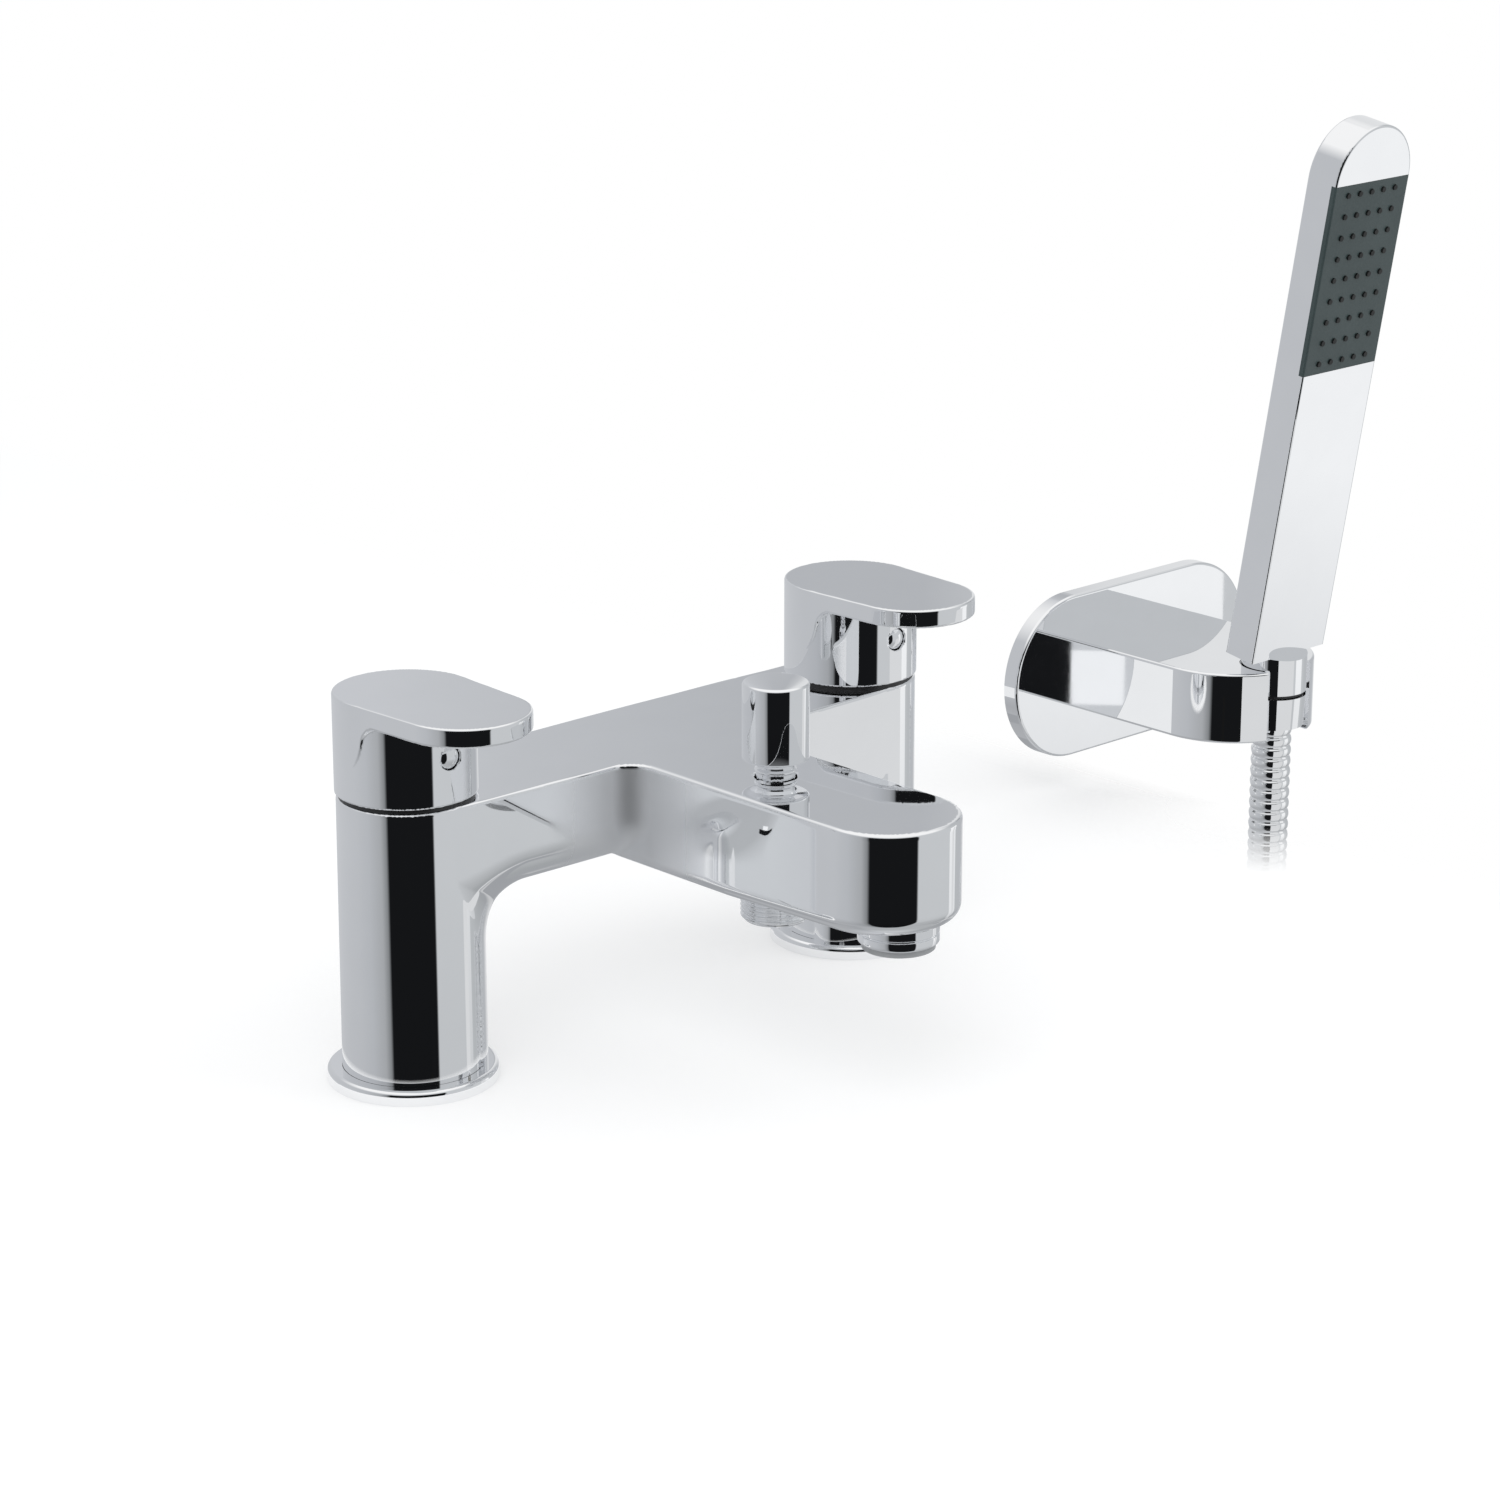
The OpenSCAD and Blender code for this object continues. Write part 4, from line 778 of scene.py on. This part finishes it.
def make_outlet():
    """Shower outlet: a collar under the spout and a male end with its thread."""
    crest, root, pitch, gap = 10.46, 9.75, 1.4, 0.02
    thread_z, thread_end_z, end_z = 44.3, 51.6, 43.52
    bore_r, seat_r, top_z = 7.0, 10.2, 61.0
    collar_r, collar_low_z = 12.0, 51.8
    profile = [(bore_r, top_z), (bore_r, 44.1), (7.5, end_z), (9.2, end_z), (root, 44.1)]
    z = thread_z
    while z + pitch < thread_end_z:
        profile += [
            (root, z),
            (crest - 0.1, z + 0.32 * pitch),
            (crest, z + 0.5 * pitch),
            (crest - 0.1, z + 0.68 * pitch),
            (root, z + pitch),
        ]
        z += pitch + gap
    profile += [(root, collar_low_z), (11.4, collar_low_z)]
    profile += arc((11.4, 52.4), 0.6, -80, 0, 5)
    profile += [(collar_r, 54.45), (seat_r, 54.5), (seat_r, top_z)]
    turned("outlet_spigot", profile, DIVERTER_AXIS, 64, ("shower_outlet",))


def make_aerator():
    """Aerator housing: a collar in two steps round a hollow middle."""
    bore_r, seat_r, top_z = 9.72, 10.95, 67.4
    lower_r, groove_r, upper_r = 11.95, 11.45, 12.0
    profile = [(bore_r, top_z), (bore_r, 50.3), (11.2, 50.22)]
    profile += arc((11.3, 50.9), 0.65, -85, 0, 6)
    profile += [(lower_r, 52.6), (11.8, 52.95), (groove_r, 53.05), (groove_r, 53.35), (11.7, 53.45)]
    profile += [(upper_r, 53.8), (upper_r, 56.2), (seat_r, 56.25), (seat_r, top_z)]
    turned("aerator_collar", profile, AERATOR_AXIS, 80, ("aerator_housing",))


make_body()
make_handles()
make_knob()
make_caps()
make_outlet()
make_aerator()


# Hose
def coil_point(angle):
    """A point of the coil, whose last half turn moves aside to meet the tail."""
    ease = min(1.0, max(0.0, (angle - 360.0 * COIL_TURNS + COIL_END_TURN) / COIL_END_TURN))
    return (
        COIL_R - COIL_R * math.cos(math.radians(angle)),
        COIL_PITCH * angle / 360.0 + COIL_SIDE_STEP * (1.0 - math.cos(math.pi * ease)) / 2.0,
        COIL_Z - COIL_R * math.sin(math.radians(angle)),
    )


def hose_route():
    """The route's points: straight down, the tied turns, and the straight tail."""
    drop = RUN_LOW_Z - HOSE_TOP_Z
    points = [(0.0, 0.0, HOSE_TOP_Z + drop * i / RUN_STEPS) for i in range(RUN_STEPS + 1)]
    points += [coil_point(360.0 * i / COIL_STEPS) for i in range(COIL_STEPS * COIL_TURNS + 1)]
    tail_y = points[-1][1]
    points += [(0.0, tail_y, COIL_Z - HOSE_D), (0.0, tail_y, TAIL_LOW_Z)]
    return np.array(points) + np.array([CRADLE[0], CRADLE[1], 0.0])


def smooth_line(points, step):
    """A Catmull-Rom line through the points, at even steps."""
    p = np.vstack([2 * points[0] - points[1], points, 2 * points[-1] - points[-2]])
    fine = []
    for i in range(1, len(p) - 2):
        a, b, c, d = p[i - 1], p[i], p[i + 1], p[i + 2]
        bend, twist = 2 * a - 5 * b + 4 * c - d, 3 * b - a - 3 * c + d
        for t in np.linspace(0, 1, LINE_STEPS, endpoint=False):
            fine.append(0.5 * (2 * b + (c - a) * t + bend * t**2 + twist * t**3))
    fine.append(p[-2])
    fine = np.array(fine)
    along = np.concatenate([[0], np.cumsum(np.linalg.norm(np.diff(fine, axis=0), axis=1))])
    at = np.linspace(0, along[-1], max(2, int(round(along[-1] / step))) + 1)
    return np.stack([np.interp(at, along, fine[:, k]) for k in range(3)], 1), along[-1]


def sweep_rings(line, radii, sides, up):
    """Rings round a line, kept square to it without twist."""
    tangent = np.gradient(line, axis=0)
    tangent /= np.linalg.norm(tangent, axis=1)[:, None]
    angles = np.arange(sides) * 2 * math.pi / sides
    rings = []
    side = np.array(up, float)
    for point, along, radius in zip(line, tangent, radii):
        side = side - along * (side @ along)
        side /= np.linalg.norm(side)
        other = np.cross(along, side)
        rings.append(point + radius * (np.cos(angles)[:, None] * side + np.sin(angles)[:, None] * other))
    return rings


def rib_radius(along, pitch, root, crest):
    """Rounded ribs: the crest of a half round, with a narrow groove between two."""
    phase = (along / pitch) % 1.0
    half_round = np.sqrt(np.clip(1.0 - (2.0 * phase - 1.0) ** 2, 0.0, 1.0))
    return root + (crest - root) * half_round**RIB_FULLNESS


def make_hose():
    route = hose_route()
    line, total = smooth_line(route, RIB_PITCH / RIB_STEPS)
    along = np.linspace(0, total, len(line))
    radii = rib_radius(along, RIB_PITCH, HOSE_ROOT_R, HOSE_CREST_R)
    verts, faces = tube(sweep_rings(line, radii, HOSE_SIDES, (0, 1, 0)))
    replaced = ("hose_run", "hose_coil")
    hose = make_object("shower_hose", verts, faces, "hose_metal", None, replaced)
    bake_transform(hose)


def make_spring():
    """Diverter's return spring, coiled from the bottom to the top of the CAD spring's box."""
    low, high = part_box("diverter_spring")
    low_z, high_z = low[2] / MM, high[2] / MM
    turn = np.linspace(0.0, 2.0 * math.pi * SPRING_TURNS, SPRING_STEPS * SPRING_TURNS + 1)
    rise = (high_z - low_z - 2.0 * SPRING_WIRE_R) / turn[-1]
    line = np.stack([
        SPRING_R * np.cos(turn),
        SPRING_R * np.sin(turn) - DIVERTER_REACH,
        low_z + SPRING_WIRE_R + rise * turn,
    ], axis=1)
    verts, faces = tube(sweep_rings(line, np.full(len(line), SPRING_WIRE_R), 8, (0, 0, 1)))
    spring = make_object("return_spring", verts, faces, "steel", "fixture",
                         ("diverter_spring",))
    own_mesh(spring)


make_hose()
make_spring()


# Floor, light and surroundings
FLOOR_HALF = 2.5
FLOOR_EDGE_X = (0.255, 0.280)
FLOOR_COLOUR = (0.56, 0.56, 0.56)
FLOOR_GLOW = 0.47
FLOOR_RING = (0.032, 0.038)
HOSE_FADE = (0.018, 0.066)
ROOM_LIGHT = (0.78, 0.79, 0.80)
LAMP_AIM = (0.05, 0.0, 0.05)
BLACK = (0.008, 0.0085, 0.0095)
WHITE = (1.0, 1.0, 1.0)
LEFT_WALL = (0.505, 0.522, 0.548)
RIGHT_WALL = (0.60, 0.618, 0.635)
BACK_WALL = (0.49, 0.505, 0.53)
BRIGHT_STRIP = (0.80, 0.81, 0.82)
DIM = (0.76, 0.76, 0.76)
WALL_GAIN = 1.16
CARD_GAIN = 1.14
CARD_SHADE_TOP = 0.55
TENT_R = 12.0
TENT_ROWS = 24
TENT_COLUMNS = 48

# Tent walls: degrees round from the photograph's side, growing to the right, and the colour there
WALLS_LEFT = (
    (-180, BACK_WALL),
    (-176, (0.56, 0.575, 0.60)),
    (-173.5, (0.62, 0.635, 0.665)),
    (-160, (0.60, 0.615, 0.64)),
    (-110, (0.56, 0.575, 0.60)),
    (-85, (0.545, 0.56, 0.585)),
    (-62, LEFT_WALL),
)
WALLS_RIGHT = (
    (106, RIGHT_WALL),
    (125, (0.515, 0.535, 0.55)),
    (150, (0.50, 0.515, 0.54)),
    (166, BRIGHT_STRIP),
    (174, BRIGHT_STRIP),
    (176.6, (0.475, 0.49, 0.515)),
    (180, BACK_WALL),
)
FLAG = ((-40, (0.42, 0.433, 0.45)), (-31, (0.25, 0.26, 0.27)), (-27, BLACK), (46, BLACK), (48, RIGHT_WALL))
NO_FLAG = ((-40, (0.58, 0.595, 0.615)), (48, RIGHT_WALL))
FLAG_MIDDLE = 10.0
FLAG_LEAST = 0.02

# Tent heights in degrees above level: where the flag's top fades and its foot narrows and ends, the
# height under which a second mirror shows no flag, and where the ceiling and the dim band come in
FLAG_TOP = (24.0, 30.0)
FLAG_NARROWS = (-47.5, -17.5)
FLAG_FOOT = (-46.9, -46.4)
FLAG_AGAIN = 11.0
CEILING = (34.0, 52.0)
DIM_BAND = (-80.0, -18.0)
DIM_STOPS = ((0.0, WHITE), (0.3, DIM), (0.75, DIM), (1.0, WHITE))


def make_floor():
    """Pale floor at deck height that keeps shadows, and fades out before the hose's drop."""
    material, tree = new_material("floor_pale")
    diffuse = add(tree, "ShaderNodeBsdfDiffuse")
    diffuse.inputs["Color"].default_value = (*FLOOR_COLOUR, 1.0)
    path = add(tree, "ShaderNodeLightPath").outputs
    lift = add(tree, "ShaderNodeEmission")
    glow = product(tree, seen_directly(tree, path), FLOOR_GLOW)
    tree.links.new(glow, lift.inputs["Strength"])
    pale = add(tree, "ShaderNodeAddShader")
    tree.links.new(diffuse.outputs[0], pale.inputs[0])
    tree.links.new(lift.outputs[0], pale.inputs[1])
    clear = add(tree, "ShaderNodeBsdfTransparent")
    place = split(tree, object_place(tree))

    def away_from(x, y):
        dx = math_node(tree, "SUBTRACT", place["X"], x * MM)
        dy = math_node(tree, "SUBTRACT", place["Y"], y * MM)
        return diagonal(tree, dx, dy)

    fade = remap(tree, place["X"], *FLOOR_EDGE_X, 0.0, 1.0)
    fade = math_node(tree, "MAXIMUM", fade, remap(tree, away_from(*CRADLE), *HOSE_FADE, 1.0, 0.0), True)
    # polished parts see the floor only close to the flanges, and the studio's walls past that
    foot = math_node(tree, "MINIMUM", away_from(-PILLAR_X, 0.0), away_from(PILLAR_X, 0.0))
    past_foot = remap(tree, foot, *FLOOR_RING, 0.0, 1.0)
    again = math_node(tree, "GREATER_THAN", path["Ray Depth"], ONE_MIRROR)
    out_of_mirrors = math_node(tree, "MAXIMUM", past_foot, again, True)
    hidden = product(tree, path["Is Glossy Ray"], out_of_mirrors)
    hidden = math_node(tree, "MAXIMUM", hidden, fade, True)
    show(tree, mixed_shaders(tree, hidden, pale.outputs[0], clear.outputs[0]))
    left, right, near, far = -FLOOR_HALF, FLOOR_EDGE_X[1], -FLOOR_HALF, FLOOR_HALF
    corners = [(left, near, 0), (right, near, 0), (right, far, 0), (left, far, 0)]
    mesh = bpy.data.meshes.new("stage_floor")
    mesh.from_pydata(corners, [], [(0, 1, 2, 3)])
    mesh.materials.append(material)
    place_object("stage_floor", mesh)


def mirror_only(obj):
    """Mark a card or wall of the studio that only polished parts show, and that casts no shadow."""
    obj.visible_camera = False
    obj.visible_diffuse = False
    obj.visible_transmission = False
    obj.visible_volume_scatter = False
    obj.visible_shadow = False


def round_from_photo(tree, place):
    """Angle round the mixer, 0 to 1, with 0.5 at the photograph's side; it doesn't follow the camera."""
    size = math.hypot(VIEW.x, VIEW.y)
    ahead_x, ahead_y = -VIEW.x / size, -VIEW.y / size

    def along(x, y):
        return math_node(tree, "ADD", product(tree, place["X"], x), product(tree, place["Y"], y))

    turn = math_node(tree, "ARCTAN2", along(-ahead_y, ahead_x), along(ahead_x, ahead_y))
    return remap(tree, turn, -math.pi, math.pi, 0.0, 1.0)


def make_walls():
    """The tent's material, which glows in a colour that depends on direction from the origin."""
    material, tree = new_material("studio_walls")
    unit = add(tree, "ShaderNodeVectorMath", operation="NORMALIZE")
    tree.links.new(object_place(tree), unit.inputs[0])
    place = split(tree, unit.outputs["Vector"])
    turn = round_from_photo(tree, place)
    tall = math_node(tree, "ARCSINE", place["Z"])

    def at(degrees):
        return (degrees + 180.0) / 360.0

    def all_round(middle):
        return [(at(degrees), colour) for degrees, colour in WALLS_LEFT + middle + WALLS_RIGHT]

    def between(heights, first, last):
        return remap(tree, tall, math.radians(heights[0]), math.radians(heights[1]), first, last)

    # the flag narrows to nothing at its foot, as an ellipse does
    depth = between(FLAG_NARROWS, 1.0, 0.0)
    wide = math_node(tree, "SQRT", math_node(tree, "SUBTRACT", 1.0, product(tree, depth, depth), True))
    aside = math_node(tree, "SUBTRACT", turn, at(FLAG_MIDDLE))
    narrowed = math_node(tree, "DIVIDE", aside, math_node(tree, "MAXIMUM", wide, FLAG_LEAST))
    narrowed = math_node(tree, "ADD", narrowed, at(FLAG_MIDDLE), True)
    ray_depth = add(tree, "ShaderNodeLightPath").outputs["Ray Depth"]
    low_down = math_node(tree, "LESS_THAN", tall, math.radians(FLAG_AGAIN))
    again = product(tree, math_node(tree, "GREATER_THAN", ray_depth, ONE_MIRROR), low_down)
    above, below = between(FLAG_TOP, 0.0, 1.0), between(FLAG_FOOT, 1.0, 0.0)
    no_flag = math_node(tree, "MAXIMUM", math_node(tree, "MAXIMUM", above, below, True), again, True)
    with_flag = ramp(tree, narrowed, all_round(FLAG))
    walls = mixed(tree, no_flag, with_flag, ramp(tree, turn, all_round(NO_FLAG)))
    # a white ceiling, a dimmer band low down, and brighter low walls where two mirrors show them
    dimmer = ramp(tree, between(DIM_BAND, 0.0, 1.0), DIM_STOPS)
    walls = mixed(tree, 1.0, walls, dimmer, blend="MULTIPLY")
    once = math_node(tree, "LESS_THAN", ray_depth, ONE_MIRROR)
    walls = mixed(tree, product(tree, between(CEILING, 0.0, 1.0), once), walls, (*WHITE, 1.0))
    glow = add(tree, "ShaderNodeEmission")
    tree.links.new(walls, glow.inputs["Color"])
    tree.links.new(remap(tree, again, 0.0, 1.0, 1.0, WALL_GAIN), glow.inputs["Strength"])
    show(tree, glow.outputs[0])
    return material


def make_tent():
    """Grey studio walls with a black flag on the photograph's side, seen in the chrome."""
    verts, faces = [], []
    for i in range(TENT_ROWS + 1):
        polar = math.pi * i / TENT_ROWS
        level, z = TENT_R * math.sin(polar), TENT_R * math.cos(polar)
        for k in range(TENT_COLUMNS):
            a = 2.0 * math.pi * k / TENT_COLUMNS
            verts.append((level * math.cos(a), level * math.sin(a), z))
    for i in range(TENT_ROWS):
        row, below = i * TENT_COLUMNS, (i + 1) * TENT_COLUMNS
        for k in range(TENT_COLUMNS):
            n = (k + 1) % TENT_COLUMNS
            faces.append((row + k, row + n, below + n, below + k))
    mesh = bpy.data.meshes.new("stage_tent")
    mesh.from_pydata(verts, [], faces)
    mesh.materials.append(make_walls())
    mirror_only(place_object("stage_tent", mesh))


def make_card(name, centre, facing, width, height, top, bottom=None, first=1.0):
    """A card that only mirrors show, in one tone or shaded from top to bottom."""
    material, tree = new_material(name)
    w, h = width * MM / 2.0, height * MM / 2.0
    glow = add(tree, "ShaderNodeEmission")
    if bottom is None:
        glow.inputs["Color"].default_value = (*top, 1.0)
    else:
        up = remap(tree, split(tree, object_place(tree))["Y"], -h, h, 0.0, 1.0)
        shade = ramp(tree, up, [(0.0, bottom), (CARD_SHADE_TOP, top)])
        tree.links.new(shade, glow.inputs["Color"])
    ray_depth = add(tree, "ShaderNodeLightPath").outputs["Ray Depth"]
    again = math_node(tree, "GREATER_THAN", ray_depth, ONE_MIRROR)
    tree.links.new(remap(tree, again, 0.0, 1.0, first, CARD_GAIN), glow.inputs["Strength"])
    show(tree, glow.outputs[0])
    mesh = bpy.data.meshes.new(name)
    mesh.from_pydata([(-w, -h, 0), (w, -h, 0), (w, h, 0), (-w, h, 0)], [], [(0, 1, 2, 3)])
    mesh.materials.append(material)
    card = place_object(name, mesh)
    card.location = [c * MM for c in centre]
    turn_to(card, Vector(facing) - Vector(centre), "Z")
    mirror_only(card)


def make_cards():
    """Cards that the handset set mirrors: centre, the point each faces, width and height."""
    # white for the handset's front and the wall plate
    make_card("stage_kit_white", (560, -270, -70), (285, 20, -20), 200, 420,
              top=(0.96, 0.97, 0.98), bottom=(0.62, 0.635, 0.65))
    # light for the right of the cradle and hose, so that their dark stripe is narrow
    make_card("stage_kit_light", (265, -186, -70), (285, -12, -70), 191, 270, top=(0.74, 0.75, 0.76))
    # white for the arm's side, and black and white for what the wall plate mirrors of it
    make_card("stage_arm_white", (76, 197, -30), (255, 31, 42), 56, 44, top=(0.90, 0.91, 0.92))
    make_card("stage_arm_black", (-119, -315, -115), (255, 31, 42), 33, 70, top=BLACK)
    make_card("stage_plate_white", (-139, -293.5, -115), (240, 54, 42), 26, 26,
              top=(0.93, 0.94, 0.95), first=0.01)


def make_world():
    """White to the camera and in mirrors; a plain level of light on the object."""
    world = bpy.data.worlds.new("studio")
    bpy.context.scene.world = world
    world.use_nodes = True
    tree = world.node_tree
    tree.nodes.clear()
    light, white = add(tree, "ShaderNodeBackground"), add(tree, "ShaderNodeBackground")
    light.inputs["Color"].default_value = (*ROOM_LIGHT, 1.0)
    white.inputs["Color"].default_value = (*WHITE, 1.0)
    seen = seen_directly(tree, add(tree, "ShaderNodeLightPath").outputs)
    out = add(tree, "ShaderNodeOutputWorld")
    tree.links.new(mixed_shaders(tree, seen, light.outputs[0], white.outputs[0]), out.inputs["Surface"])


def make_lamps():
    for name, place, size, power in (
        ("lamp_key", (-0.9, -0.6, 1.5), 1.2, 9.0),
        ("lamp_fill", (1.2, -1.2, 1.3), 1.4, 7.0),
    ):
        data = bpy.data.lights.new(name, "AREA")
        data.size = size
        data.energy = power
        lamp = place_object(name, data)
        lamp.location = place
        turn_to(lamp, Vector(LAMP_AIM) - Vector(place), "-Z")
        lamp.visible_glossy = False


make_floor()
make_tent()
make_world()
make_lamps()
make_cards()

bpy.context.scene.view_settings.view_transform = "Standard"
